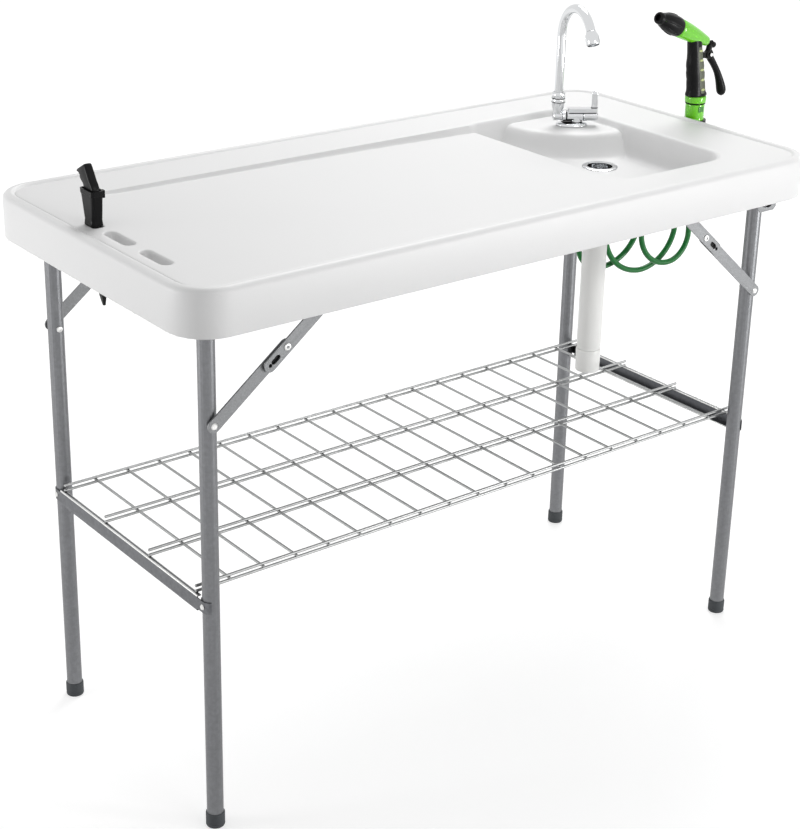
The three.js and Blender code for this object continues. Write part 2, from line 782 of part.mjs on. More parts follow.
function makeStrainer() {
  const bottom = barrelBottom + clearance;
  const disc = rod([drainX, drainY, bottom], [drainX, drainY, bottom + strainerHeight],
    drainMouthRadius - clearance, 28);
  let strainer = disc;
  for (let slot = 0; slot < strainerSlots; slot += 1) {
    const y = drainY + (slot - (strainerSlots - 1) / 2) * strainerSlotPitch;
    const chord = Math.sqrt(drainMouthRadius ** 2 - (y - drainY) ** 2) - strainerSlotWidth;
    strainer = strainer.subtract(box(drainX - chord, drainX + chord, y - strainerSlotWidth / 2,
      y + strainerSlotWidth / 2, bottom - cutOverrun, bottom + cutOverrun));
  }
  return strainer;
}

function makeDrainNut() {
  const bottom = nutTop - drainNutHeight;
  const blank = rod([drainX, drainY, bottom], [drainX, drainY, nutTop], drainNutRadius, 8);
  const bore = rod([drainX, drainY, bottom - cutOverrun], [drainX, drainY, nutTop + cutOverrun],
    drainBarrelRadius + clearance, 28);
  return blank.subtract(bore);
}

// The pipe slips over the flange's throat, and is drawn in above its end collar
function makeDrainHose() {
  const top = throatTop - clearance;
  const bore = drainThroatRadius + clearance;
  const neckTop = hoseBottom + hoseCollarLength + hoseNeckLength;
  const neckBottom = hoseBottom + hoseCollarLength;
  return turned([
    [bore, top], [bore, neckBottom + clearance], [hoseNeckRadius, neckBottom + clearance],
    [hoseNeckRadius, neckTop], [hosePipeRadius, neckTop + hoseNeckLength / 2], [hosePipeRadius, top],
  ], drainX, drainY);
}

function makeHoseCollar() {
  const bore = drainThroatRadius + clearance;
  const top = hoseBottom + hoseCollarLength;
  return turned([
    [bore, hoseBottom], [bore, top], [hoseNeckRadius, top], [hoseCollarRadius, top - hoseNeckLength / 2],
    [hoseCollarRadius - footLipRadius / 2, hoseBottom],
  ], drainX, drainY);
}

addPiece('drain_flange', makeDrainFlange(), chrome);
addPiece('drain_strainer', makeStrainer(), chrome);
addPiece('drain_nut', makeDrainNut(), whitePlastic);
addPiece('drain_hose', makeDrainHose(), whitePlastic);
addPiece('drain_hose_collar', makeHoseCollar(), whitePlastic);

// Tap, built round its own axis and turned to face the sink

const tap = new THREE.Group();
tap.position.set(tapX, tapY, shelfHeight);
tap.rotation.z = tapAngle;
table.add(tap);

function makeTapBase() {
  const halfX = tapBaseLength / 2;
  const halfY = tapBaseWidth / 2;
  const dome = [[clearance, 1], [tapBaseHeight * 0.5, 1], [tapBaseHeight * 0.8, 0.93], [tapBaseHeight, 0.72]];
  return join([
    loft(dome.map(([z, share]) => oval(tapBaseShift, 0, z, halfX * share, halfY * share, 28))),
    rod([0, 0, -shankLength], [0, 0, barrelRise], shankRadius - clearance, 20),
    rod([barrelBodyLeft, 0, barrelRise], [barrelBodyRight, 0, barrelRise], barrelRadius, 24),
    rod([spoutOffset, 0, barrelRise], [leverHubEnd - leverThickness, 0, barrelRise], barrelJointRadius, 16),
  ]);
}

function makeTapNut() {
  const top = undersideHeight - shelfHeight - clearance;
  const blank = rod([0, 0, top - tapNutHeight], [0, 0, top], tapNutRadius, 6);
  const bore = rod([0, 0, top - 2 * tapNutHeight], [0, 0, top + cutOverrun], shankRadius + clearance, 20);
  return blank.subtract(bore);
}

function makeLever() {
  const hubStart = barrelBodyRight + clearance;
  const plateBottom = barrelRise + barrelRadius + leverPlateRise;
  const plateTopZ = plateBottom + leverPlateThickness;
  const half = leverWidth / 2;
  const bladeStart = leverHubEnd - leverBladeWidth;
  const bladeOutline = [
    [bladeStart, plateBottom], [leverHubEnd, plateBottom], [leverHubEnd - clearance, plateTopZ + leverHeight],
    [bladeStart, plateTopZ + leverHeight],
  ].map(([x, z]) => new THREE.Vector2(x, z));
  const jointEnd = leverHubEnd - leverThickness + clearance;
  const joint = rod([hubStart - cutOverrun, 0, barrelRise], [jointEnd, 0, barrelRise],
    barrelJointRadius + clearance, 16);
  return join([
    rod([hubStart, 0, barrelRise], [leverHubEnd, 0, barrelRise], barrelRadius, 24),
    box(bladeStart, leverHubEnd - clearance, -half, half, barrelRise, plateTopZ),
    box(leverPlateLeft, leverHubEnd - clearance, -half, half, plateBottom, plateTopZ),
    panel(new THREE.Shape(bladeOutline), -leverThickness / 2, leverThickness / 2),
  ]).subtract(joint);
}

// The block turns about the barrel and the spout turns in the nut on top of it
function makeSpoutBlock() {
  const jointStart = spoutOffset - cutOverrun / 2;
  const joint = rod([jointStart, 0, barrelRise], [barrelBodyLeft + cutOverrun, 0, barrelRise],
    barrelJointRadius + clearance, 16);
  const halfLength = barrelBodyLeft - clearance - spoutOffset;
  const top = barrelRise + spoutBlockHeight;
  const nutTopZ = top + spoutNutHeight;
  const bore = rod([spoutOffset, 0, top], [spoutOffset, 0, nutTopZ + cutOverrun], spoutRadius + clearance, 24);
  return join([
    rod([spoutOffset - halfLength, 0, barrelRise], [spoutOffset + halfLength, 0, barrelRise],
      barrelRadius + 1.5 * clearance, 24),
    rod([spoutOffset, 0, barrelRise], [spoutOffset, 0, top], barrelRadius * 0.88, 20, spoutBlockRadius),
    rod([spoutOffset, 0, top], [spoutOffset, 0, nutTopZ], spoutBlockRadius, 20, spoutNutRadius),
  ]).subtract(joint).subtract(bore);
}

const spoutStart = barrelRise + spoutBlockHeight + clearance;
const spoutForward = new THREE.Vector3(Math.sin(spoutHeading), -Math.cos(spoutHeading), 0);
const spoutUp = new THREE.Vector3(0, 0, 1);
const arcCentreZ = barrelRise + spoutRise;

function spoutPoint(angle) {
  return new THREE.Vector3(spoutOffset, 0, arcCentreZ)
    .addScaledVector(spoutForward, spoutArcRadius * (1 - Math.cos(angle)))
    .addScaledVector(spoutUp, spoutArcRadius * Math.sin(angle));
}

function spoutRings(radius) {
  const side = new THREE.Vector3().crossVectors(spoutUp, spoutForward);
  const circle = (centre, normal) => oval(0, 0, 0, radius, radius, 16).map((point) => centre.clone()
    .addScaledVector(side, point.x).addScaledVector(normal, point.y));
  const rings = [circle(new THREE.Vector3(spoutOffset, 0, spoutStart), spoutForward)];
  for (let step = 0; step <= 14; step += 1) {
    const angle = spoutArcSweep * step / 14;
    const normal = spoutForward.clone().multiplyScalar(Math.cos(angle))
      .addScaledVector(spoutUp, -Math.sin(angle));
    rings.push(circle(spoutPoint(angle), normal));
  }
  return rings;
}

function makeAerator() {
  const direction = spoutForward.clone().multiplyScalar(Math.sin(spoutArcSweep))
    .addScaledVector(spoutUp, Math.cos(spoutArcSweep));
  const start = spoutPoint(spoutArcSweep).addScaledVector(direction, clearance);
  const middle = start.clone().addScaledVector(direction, aeratorLength * 0.35);
  const end = start.clone().addScaledVector(direction, aeratorLength);
  const inside = start.clone().addScaledVector(direction, aeratorLength * 0.75);
  const past = end.clone().addScaledVector(direction, cutOverrun);
  return join([
    rod(start, middle, spoutRadius + clearance, 20, aeratorRadius),
    rod(middle, end, aeratorRadius, 20),
  ]).subtract(rod(inside, past, aeratorRadius - drainWall, 16));
}

// Supply tee under the shelf: garden hose inlet to one side, tap above, spray hose below
function makeTee() {
  const top = undersideHeight - shelfHeight - tapNutHeight - 2 * clearance;
  const bottom = top - teeHeight;
  const middle = (top + bottom) / 2;
  const body = join([
    rod([0, 0, bottom], [0, 0, top], teeRadius, 20),
    rod([0, 0, middle], [teeInletLength, 0, middle], teeInletRadius, 20),
    rod([0, 0, bottom - barbLength], [0, 0, bottom + clearance], barbRadius, 16),
  ]);
  return body
    .subtract(rod([0, 0, -shankLength - clearance], [0, 0, top + cutOverrun], shankRadius + clearance, 20))
    .subtract(rod([teeRadius, 0, middle], [teeInletLength + cutOverrun, 0, middle], teeBore, 16));
}

addPiece('tap_base', makeTapBase(), chrome, tap);
addPiece('tap_nut', makeTapNut(), zinc, tap);
addPiece('tap_lever', makeLever(), chrome, tap);
addPiece('spout_block', makeSpoutBlock(), chrome, tap);
addPiece('spout', loft(spoutRings(spoutRadius)), chrome, tap);
addPiece('aerator', makeAerator(), chrome, tap);
addPiece('supply_tee', makeTee(), zinc, tap);

// Spray hose

function sprayHoseCurve() {
  const teeBottom = undersideHeight - tapNutHeight - 2 * clearance - teeHeight - barbLength;
  const start = new THREE.Vector3(tapX, tapY, teeBottom - clearance);
  const end = new THREE.Vector3(holderX, holderY, holderTop - holderHeight - connectorTailLength - clearance);
  const straight = 2 * sprayHoseRadius;
  const points = [start, start.clone().setZ(start.z - straight)];
  const firstAngle = -quarterTurn;
  const turns = loops.length - 1;
  const lastAngle = turns * fullTurn + quarterTurn;
  const steps = Math.round(loopSteps * (lastAngle - firstAngle) / fullTurn);
  const entry = new THREE.Vector3(loops[0].x - loops[0].radius, loops[0].y, loops[0].z);
  points.push(points[1].clone().lerp(entry, 0.45));
  for (let step = 0; step <= steps; step += 1) {
    const angle = firstAngle + (lastAngle - firstAngle) * step / steps;
    const place = Math.min(Math.max(angle / fullTurn, 0), turns);
    const index = Math.min(Math.floor(place), turns - 1);
    const share = place - index;
    const mix = (key) => loops[index][key] * (1 - share) + loops[index + 1][key] * share;
    points.push(new THREE.Vector3(mix('x') + mix('radius') * Math.sin(angle), mix('y'),
      mix('z') - mix('radius') * Math.cos(angle)));
  }
  points.push(points.at(-1).clone().lerp(end, 0.5));
  points.push(end.clone().setZ(end.z - straight), end);
  return new THREE.CatmullRomCurve3(points, false, 'centripetal');
}

function leastSelfGap(curve, radius) {
  const samples = curve.getSpacedPoints(600);
  const spacing = curve.getLength() / 600;
  const skip = Math.ceil(6 * radius / spacing);
  let least = Infinity;
  samples.forEach((point, place) => {
    for (let other = place + skip; other < samples.length; other += 1) {
      least = Math.min(least, point.distanceTo(samples[other]));
    }
  });
  return least - 2 * radius;
}

const sprayCurve = sprayHoseCurve();
console.log(`spray hose length ${sprayCurve.getLength().toFixed(1)} mm, `
  + `least gap to itself ${leastSelfGap(sprayCurve, sprayHoseRadius).toFixed(2)} mm`);

function makeSprayHose() {
  const section = new THREE.Shape(oval(0, 0, 0, sprayHoseRadius, sprayHoseRadius, hoseSides)
    .map((point) => new THREE.Vector2(point.x, point.y)));
  const options = { steps: 104, bevelEnabled: false, extrudePath: sprayCurve };
  return toSolid(new THREE.ExtrudeGeometry(section, options));
}

addPiece('spray_hose', makeSprayHose(), hoseGreen);

// Sprayer holder and quick connector

const holderBottom = holderTop - holderHeight;
const apronFace = topLength / 2;

function makeHolder() {
  const outer = connectorRadius + clearance + holderWall;
  const bore = connectorRadius + clearance;
  const cup = rod([holderX, holderY, holderBottom], [holderX, holderY, holderTop], outer, 28);
  const half = holderPlateWidth / 2;
  const seat = apronFace + clearance;
  const plate = box(seat, seat + holderPlateGauge, holderY - half, holderY + half,
    holderBottom - holderPlateDrop, holderTop);
  const bridge = box(seat, holderX, holderY - outer / 2, holderY + outer / 2, holderBottom, holderTop);
  const socket = rod([holderX, holderY, holderBottom + holderFloor],
    [holderX, holderY, holderTop + cutOverrun], bore, 28);
  const tailHole = rod([holderX, holderY, holderBottom - cutOverrun], [holderX, holderY, holderTop],
    connectorTailRadius + clearance, 20);
  return join([cup, plate, bridge]).subtract(socket).subtract(tailHole);
}

function makeConnector() {
  const seat = holderBottom + holderFloor + clearance;
  const tailBottom = holderBottom - connectorTailLength;
  const rib = footLipRadius;
  return turned([
    [0, tailBottom], [connectorTailRadius, tailBottom], [connectorTailRadius, seat],
    [connectorRadius - rib, seat], [connectorRadius, seat + rib], [connectorRadius, connectorTop - rib],
    [connectorRadius - rib / 2, connectorTop], [connectorBore, connectorTop],
    [connectorBore, connectorTop - connectorBoreDepth],
    [0, connectorTop - connectorBoreDepth],
  ], holderX, holderY);
}

addPiece('sprayer_holder', makeHolder(), blackPlastic);
addPiece('quick_connector', makeConnector(), limePlastic);

// Sprayer

const collarBottom = connectorTop + clearance;
const gripBottom = collarBottom + collarHeight + clearance;
const headAxis = new THREE.Vector3(-Math.cos(headTilt), 0, Math.sin(headTilt));
const headX = holderX + gripLean - bodyLength * gripPlaceShare * Math.cos(headTilt);
const headZ = gripBottom + gripHeight + headRise;
const headJoint = new THREE.Vector3(headX, holderY, headZ);
const bodyRear = headJoint.clone().addScaledVector(headAxis, -bodyLength);
const triggerX = bodyRear.x + triggerReach;
const triggerZ = headZ - triggerDrop;
const triggerTipX = triggerX + triggerTipReach;
const triggerTipZ = triggerZ - triggerTipDrop;

function makeCollar() {
  const rib = footLipRadius;
  const plugBottom = connectorTop - connectorBoreDepth + clearance;
  return turned([
    [0, plugBottom], [plugRadius, plugBottom], [plugRadius, collarBottom], [collarRadius, collarBottom],
    [collarRadius, collarBottom + collarHeight - rib], [collarRadius - rib, collarBottom + collarHeight],
    [0, collarBottom + collarHeight],
  ], holderX, holderY);
}

// Height, lean, depth front to back and width of the grip, as shares of its height, lean and two half sizes
const gripHalfDepth = 17.5;
const gripHalfWidth = 14.3;
const gripShares = [
  [0, 0, 1.22, 1.07], [0.05, 0.04, 1.2, 1.06], [0.085, 0.08, 1.08, 1.02], [0.13, 0.12, 1.05, 1], [0.22, 0.2, 1.02, 1],
  [0.3, 0.3, 0.96, 0.98], [0.4, 0.38, 1.03, 1], [0.5, 0.52, 0.94, 0.96], [0.6, 0.6, 0.98, 0.96],
  [0.7, 0.72, 0.85, 0.9], [0.85, 0.85, 0.79, 0.85], [1.15, 1.1, 0.8, 0.8],
];

function bodyProfile(radiusGrow) {
  const shares = [[0, 1], [0.25, 1.02], [0.6, 0.86], [0.85, 0.66], [1, 0.55]];
  return shares.map(([alongShare, radiusShare]) => {
    const centre = headJoint.clone().addScaledVector(headAxis, -bodyLength * alongShare);
    return { centre, radius: bodyFrontRadius * radiusShare + radiusGrow };
  });
}

function axisRings(stations, count = 24) {
  const up = new THREE.Vector3(Math.sin(headTilt), 0, Math.cos(headTilt));
  const side = new THREE.Vector3(0, 1, 0);
  return stations.map(({ centre, radius }) => oval(0, 0, 0, radius, radius, count)
    .map((point) => centre.clone().addScaledVector(side, point.x).addScaledVector(up, point.y)));
}

function makeGrip() {
  const rings = gripShares.map(([heightShare, leanShare, depthShare, widthShare]) => oval(
    holderX + gripLean * leanShare, holderY, gripBottom + gripHeight * heightShare,
    gripHalfDepth * depthShare, gripHalfWidth * widthShare, 22));
  const lug = rod([triggerX, holderY - triggerLugWidth / 2, triggerZ],
    [triggerX, holderY + triggerLugWidth / 2, triggerZ], triggerEyeRadius * 0.8, 14);
  const arm = box(holderX + gripLean, triggerX, holderY - triggerLugWidth / 2, holderY + triggerLugWidth / 2,
    triggerZ - triggerEyeRadius * 0.7, triggerZ + triggerEyeRadius * 0.7);
  const pinHole = rod([triggerX, holderY - triggerWidth, triggerZ],
    [triggerX, holderY + triggerWidth, triggerZ], triggerPinRadius + clearance, 12);
  const bodySeat = loft(axisRings(bodyProfile(clearance)));
  return join([loft(rings), lug, arm]).subtract(bodySeat).subtract(pinHole);
}

function makeBody() {
  const bore = rod(bodyRear.clone().addScaledVector(headAxis, -cutOverrun),
    bodyRear.clone().addScaledVector(headAxis, bodyLength / 2), valveRodRadius + clearance, 12);
  return loft(axisRings(bodyProfile(0))).subtract(bore);
}

function makeNozzle() {
  const shares = [
    [0, 1], [0.12, 1.08], [0.4, 1.05], [0.66, 0.88], [0.84, 0.7], [0.86, 0.66], [0.97, 0.62], [1, 0.55],
  ];
  const stations = shares.map(([alongShare, radiusShare]) => ({
    centre: headJoint.clone().addScaledVector(headAxis, clearance + nozzleLength * alongShare),
    radius: bodyFrontRadius * radiusShare,
  }));
  const mouth = rod(headJoint.clone().addScaledVector(headAxis, nozzleLength * 0.85),
    headJoint.clone().addScaledVector(headAxis, nozzleLength + cutOverrun), bodyFrontRadius * 0.35, 16);
  return loft(axisRings(stations, 26)).subtract(mouth);
}

function makeValveRod() {
  const nutStart = bodyRear.clone().addScaledVector(headAxis, -valveRodReach + valveNutLength);
  const nutEnd = bodyRear.clone().addScaledVector(headAxis, -valveRodReach);
  const inside = bodyRear.clone().addScaledVector(headAxis, bodyLength / 3);
  return join([rod(inside, nutEnd, valveRodRadius, 12), rod(nutStart, nutEnd, valveNutRadius, 12)]);
}

// The lever hangs from its eye, forks round the valve rod above, and ends in a slotted pad below
function makeTrigger() {
  const eye = new THREE.Vector2(triggerX, triggerZ);
  const tip = new THREE.Vector2(triggerTipX, triggerTipZ);
  const reach = eye.distanceTo(tip);
  const down = tip.clone().sub(eye).normalize();
  const back = new THREE.Vector2(-down.y, down.x);
  const at = (alongShare, acrossShare) => eye.clone()
    .addScaledVector(down, reach * alongShare).addScaledVector(back, triggerEyeRadius * acrossShare);
  const outline = new THREE.Shape([
    at(-0.19, 0.75), at(0, 1.1), at(0.12, 1.35), at(0.4, 1.45), at(0.7, 0.85), at(0.9, 1.05), at(1, 0.6),
    at(1.04, -0.2), at(0.98, -0.95), at(0.85, -1.1), at(0.6, -0.6), at(0.4, -0.15), at(0.15, -0.5), at(0, -1),
    at(-0.08, -0.6), at(-0.19, -0.3),
  ].reverse());
  roundHole(outline, eye, triggerPinRadius + clearance);
  const slot = strap(at(0.84, -0.1), at(0.93, -0.1), triggerEyeRadius * 0.3);
  outline.holes.push(new THREE.Path(slot.getPoints(3).reverse()));
  const half = triggerWidth / 2;
  const gapHalf = triggerLugWidth / 2 + clearance;
  const lugGap = box(holderX, triggerX + 1.6 * triggerEyeRadius, holderY - gapHalf, holderY + gapHalf,
    triggerZ - 1.6 * triggerEyeRadius, headZ);
  return panel(outline, holderY - half, holderY + half, 6).subtract(lugGap);
}

function makeTriggerPin() {
  const half = triggerWidth / 2;
  const head = rivetHeadHeight;
  const at = (y) => [triggerX, holderY + y, triggerZ];
  return join([
    rod(at(-half - clearance - head), at(half + clearance + head), triggerPinRadius, 12),
    rod(at(half + clearance), at(half + clearance + head), 1.6 * triggerPinRadius, 12),
    rod(at(-half - clearance - head), at(-half - clearance), 1.6 * triggerPinRadius, 12),
  ]);
}

addPiece('sprayer_collar', makeCollar(), limePlastic);
addPiece('sprayer_grip', makeGrip(), blackPlastic);
addPiece('sprayer_body', makeBody(), limePlastic);
addPiece('sprayer_nozzle', makeNozzle(), blackPlastic);
addPiece('valve_rod', makeValveRod(), blackPlastic);
addPiece('sprayer_trigger', makeTrigger(), blackPlastic);
addPiece('trigger_pin', makeTriggerPin(), zinc);

// Knife and sheath

const sheathHalfX = 10.6;
const sheathHalfY = 18.4;
// Height between tip and seat, then half thickness and half width, as shares
const sheathLowerShares = [
  [0, 0.17, 0.11], [0.12, 0.34, 0.3], [0.335, 0.434, 0.435], [0.68, 0.5, 0.576], [0.765, 0.51, 0.608],
  [0.81, 0.7, 0.62], [1, 0.717, 0.625],
];
// Height between seat and rim, shift towards the rear in half widths, half thickness and half width, as shares
const sheathUpperShares = [
  [0, 0, 0.962, 0.68], [0.15, 0.005, 0.84, 0.685], [0.7, 0.098, 0.887, 0.886], [0.84, 0.125, 0.906, 0.94],
  [0.87, 0.13, 1, 0.989], [1, 0.141, 1, 1],
];
// Height up the blade and half width of its pocket, as shares of the blade's length and width
const bladePocketShares = [[-0.019, 0.145], [0.2135, 0.385], [0.513, 0.54], [0.827, 0.595]];
const sheathSeat = fieldHeight + clearance;

function leaning(z) {
  return sheathY + (z - sheathSeat) * sheathLean;
}

function sheathRings(shrink) {
  const lower = sheathLowerShares.map(([heightShare, thickShare, wideShare]) => {
    const z = sheathTip + (sheathSeat - sheathTip) * heightShare;
    return [z, leaning(z), sheathHalfX * thickShare, sheathHalfY * wideShare];
  });
  const base = sheathSeat + sheathShoulder * clearance;
  const upper = sheathUpperShares.map(([heightShare, shiftShare, thickShare, wideShare]) => [
    base + (sheathTop - base) * heightShare, sheathY + sheathHalfY * shiftShare,
    sheathHalfX * thickShare, sheathHalfY * wideShare]);
  return [...lower, ...upper].map(([z, y, halfX, halfY]) => (
    ring(slotX, y, z, halfX - shrink, halfY - shrink, Math.min(halfX, halfY) * 0.45, 3)));
}

// The sheath leans back through its slot, and a loop stands on its rim for a belt clip
function makeSheath() {
  const rings = sheathRings(0);
  const pocketFloor = sheathLowerShares.length;
  const pocket = sheathRings(sheathWall).slice(pocketFloor);
  const mouth = pocket.at(-1).map((point) => point.clone().setZ(point.z + cutOverrun));
  const handlePocket = loft([...pocket, mouth]);
  const half = bladeThickness / 2 + 2 * clearance;
  const bladePocket = loft(bladePocketShares.map(([heightShare, wideShare]) => {
    const z = bladeTip + (bladeTop - bladeTip) * heightShare;
    return ring(slotX, leaning(z), z, half, bladeWidth * wideShare, clearance, 2);
  }));
  const clipX = slotX + sheathHalfX;
  const clipEnd = sheathY - sheathHalfY * 0.4;
  const clip = box(clipX - sheathWall, clipX + sheathWall, clipEnd - sheathHalfY * 0.35, clipEnd,
    sheathTop - sheathHalfY * 0.6, sheathTop);
  return loft(rings).add(clip).subtract(handlePocket).subtract(bladePocket);
}

// Across the blade and up it, with the tang that enters the handle above the root
function makeBlade() {
  const root = 1 - tangLength / (bladeTop - bladeTip);
  const tang = tangWidth / bladeWidth / 2;
  const outlineShares = [
    [-tang, 1], [tang, 1], [tang, root], [0.5, root], [0.5, 0.588], [0.349, 0.2135], [0.093, 0.011], [0, 0],
    [-0.07, 0.015], [-0.326, 0.2135], [-0.488, 0.513], [-0.5, root], [-tang, root],
  ];
  const half = bladeThickness / 2;
  const rings = [-half, half].map((x) => outlineShares.map(([acrossShare, heightShare]) => {
    const z = bladeTip + (bladeTop - bladeTip) * heightShare;
    return new THREE.Vector3(slotX + x, leaning(z) + bladeWidth * acrossShare, z);
  }));
  return loft(rings);
}

// Height, place towards the rear in half widths, half thickness, half width and tilt in degrees, as shares
const handleHalfX = 6.8;
const handleHalfY = 15.3;
const handleTilt = 29.4 * Math.PI / 180;
const handleShares = [
  [0, 0.026, 0.824, 0.693, 0], [0.168, 0.052, 0.882, 0.745, 0], [0.427, 0.137, 0.912, 0.915, 0],
  [0.557, 0.196, 0.956, 1, 0], [0.756, 0.784, 1, 0.954, 0.333], [0.913, 1.222, 1, 0.928, 0.735],
  [0.969, 1.366, 0.971, 0.928, 0.952], [1, 1.431, 0.824, 0.824, 1],
];

function makeHandle() {
  const rings = handleShares.map(([heightShare, shiftShare, thickShare, wideShare, tiltShare]) => {
    const y = sheathY + handleHalfY * shiftShare;
    const z = handleBottom + (handleTop - handleBottom) * heightShare;
    const halfX = handleHalfX * thickShare;
    const section = ring(slotX, 0, 0, halfX, handleHalfY * wideShare, halfX * 0.6, 3);
    const tilt = handleTilt * tiltShare;
    return section.map((point) => (
      new THREE.Vector3(point.x, y + point.y * Math.cos(tilt), z - point.y * Math.sin(tilt))));
  });
  const tangBottom = bladeTop - tangLength - clearance;
  const tang = loft([handleBottom - cutOverrun, bladeTop + clearance].map((z) => ring(slotX, leaning(z), z,
    bladeThickness / 2 + clearance, tangWidth / 2 + clearance, clearance, 2)));
  const rootSlot = loft([handleBottom - cutOverrun, tangBottom + 2 * clearance].map((z) => (
    ring(slotX, leaning(z), z, bladeThickness / 2 + clearance, bladeWidth, clearance, 2))));
  return loft(rings).subtract(tang).subtract(rootSlot);
}

addPiece('knife_sheath', makeSheath(), blackPlastic);
addPiece('knife_blade', makeBlade(), chrome);
addPiece('knife_handle', makeHandle(), blackPlastic);

export default table;
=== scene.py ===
"""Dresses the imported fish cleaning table: finishes, finer pieces where form shows, and a plain studio."""

import math

import bmesh
import bpy
import numpy as np
from mathutils import Matrix, Vector


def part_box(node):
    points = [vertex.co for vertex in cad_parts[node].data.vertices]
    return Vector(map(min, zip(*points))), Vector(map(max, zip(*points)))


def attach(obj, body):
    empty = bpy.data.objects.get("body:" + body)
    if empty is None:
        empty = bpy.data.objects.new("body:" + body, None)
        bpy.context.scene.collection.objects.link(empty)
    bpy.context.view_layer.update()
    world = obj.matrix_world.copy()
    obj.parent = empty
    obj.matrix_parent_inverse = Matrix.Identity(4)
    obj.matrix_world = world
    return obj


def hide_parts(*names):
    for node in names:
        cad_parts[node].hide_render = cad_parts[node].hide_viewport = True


bl_info = {
    "name": "Fish cleaning table",
    "version": (1, 0, 0),
    "blender": (4, 5, 0),
    "location": "3D View > Sidebar > Fish Table",
    "description": "Builds the finishes and the finer pieces of a folding fish cleaning table",
    "category": "Add Mesh",
}

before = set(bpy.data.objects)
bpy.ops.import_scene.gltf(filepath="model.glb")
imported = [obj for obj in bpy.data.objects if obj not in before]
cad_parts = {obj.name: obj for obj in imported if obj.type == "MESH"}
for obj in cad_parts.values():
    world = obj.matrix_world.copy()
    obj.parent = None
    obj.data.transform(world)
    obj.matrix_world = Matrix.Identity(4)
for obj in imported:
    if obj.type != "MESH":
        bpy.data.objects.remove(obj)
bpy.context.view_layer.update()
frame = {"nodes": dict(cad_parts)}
MM = 0.001
TURN = 2 * math.pi
X_AXIS, Y_AXIS, Z_AXIS = Vector((1, 0, 0)), Vector((0, 1, 0)), Vector((0, 0, 1))
# A turned point on its axis gets this radius, so that its ring's points stay apart
LEAST_RADIUS = 0.02


# Shared mesh tools


def mm(*values):
    return Vector(values) * MM


def rounded_ring(cx, cy, z, half_x, half_y, radius, steps=6):
    """Points round a level rectangle with rounded corners."""
    points = []
    for corner, (sx, sy) in enumerate(((1, 1), (-1, 1), (-1, -1), (1, -1))):
        for step in range(steps + 1):
            angle = (corner + step / steps) * math.pi / 2
            x = cx + sx * (half_x - radius) + radius * math.cos(angle)
            y = cy + sy * (half_y - radius) + radius * math.sin(angle)
            points.append((x, y, z))
    return points


def circle(centre, side, up, radius_a, radius_b=None, count=32, power=2.0):
    """Points round centre in the plane of side and up; a power above 2 squares the circle off."""
    radius_b = radius_a if radius_b is None else radius_b
    points = []
    for step in range(count):
        angle = TURN * step / count
        c, s = math.cos(angle), math.sin(angle)
        a = math.copysign(abs(c) ** (2 / power), c)
        b = math.copysign(abs(s) ** (2 / power), s)
        points.append(tuple(Vector(centre) + side * radius_a * a + up * radius_b * b))
    return points


def band(low, high):
    """Faces between two rings, each given by the indices of its points."""
    count = len(low)
    return [(low[k], low[(k + 1) % count], high[(k + 1) % count], high[k]) for k in range(count)]


def ring_indices(row, count):
    return range(row * count, (row + 1) * count)


def loft(rings):
    """A closed shape through rings of equally many points."""
    count = len(rings[0])
    points = [point for ring in rings for point in ring]
    last = len(rings) - 1
    faces = []
    for row in range(last):
        faces += band(ring_indices(row, count), ring_indices(row + 1, count))
    faces.append(tuple(reversed(range(count))))
    faces.append(tuple(ring_indices(last, count)))
    return points, faces


def turned_rings(profile, centre, axis, count):
    axis = Vector(axis).normalized()
    side = axis.orthogonal().normalized()
    up = axis.cross(side)
    return [circle(Vector(centre) + axis * height, side, up, radius, count=count)
            for radius, height in profile]


def lathe(profile, centre=(0, 0, 0), axis=Z_AXIS, count=40):
    """Turns radius and height pairs, listed up the outside, about an axis through centre."""
    return loft(turned_rings([(max(radius, LEAST_RADIUS), height) for radius, height in profile],
                             centre, axis, count))


def lathe_ring(profile, centre=(0, 0, 0), axis=Z_AXIS, count=40):
    """As lathe, for a profile that closes on itself round a bore."""
    points = [point for ring in turned_rings(profile, centre, axis, count) for point in ring]
    rows = len(profile)
    faces = []
    for row in range(rows):
        faces += band(ring_indices(row, count), ring_indices((row + 1) % rows, count))
    return points, faces


def sweep(path, radii, count=24, squash=1.0):
    """A tube along a path of points, with a radius for each point."""
    path = [Vector(point) for point in path]
    rings = []
    up = None
    for index, point in enumerate(path):
        ahead = path[min(index + 1, len(path) - 1)] - path[max(index - 1, 0)]
        ahead.normalize()
        up = ahead.orthogonal() if up is None else up - ahead * up.dot(ahead)
        up.normalize()
        side = ahead.cross(up)
        rings.append(circle(point, side, up, radii[index], radii[index] * squash, count=count))
    return loft(rings)


def slab(low, high):
    (x0, y0, z0), (x1, y1, z1) = low, high
    points = [(x, y, z) for z in (z0, z1) for y in (y0, y1) for x in (x0, x1)]
    faces = [(0, 2, 3, 1), (4, 5, 7, 6), (0, 1, 5, 4), (2, 6, 7, 3), (0, 4, 6, 2), (1, 3, 7, 5)]
    return points, faces


def together(*shapes):
    """Several shapes as one, each still closed by itself."""
    points, faces = [], []
    for some_points, some_faces in shapes:
        start = len(points)
        points += [tuple(point) for point in some_points]
        faces += [tuple(start + index for index in face) for face in some_faces]
    return points, faces


def make_object(name, shape, matrix=None):
    """A new object from points in millimetres, in the table's own frame or in that of matrix."""
    points, faces = shape
    mesh = bpy.data.meshes.new(name)
    mesh.from_pydata([Vector(point) * MM for point in points], [], faces)
    if matrix is not None:
        mesh.transform(matrix)
    work = bmesh.new()
    work.from_mesh(mesh)
    bmesh.ops.recalc_face_normals(work, faces=work.faces)
    work.to_mesh(mesh)
    work.free()
    thing = bpy.data.objects.new(name, mesh)
    bpy.context.scene.collection.objects.link(thing)
    return thing


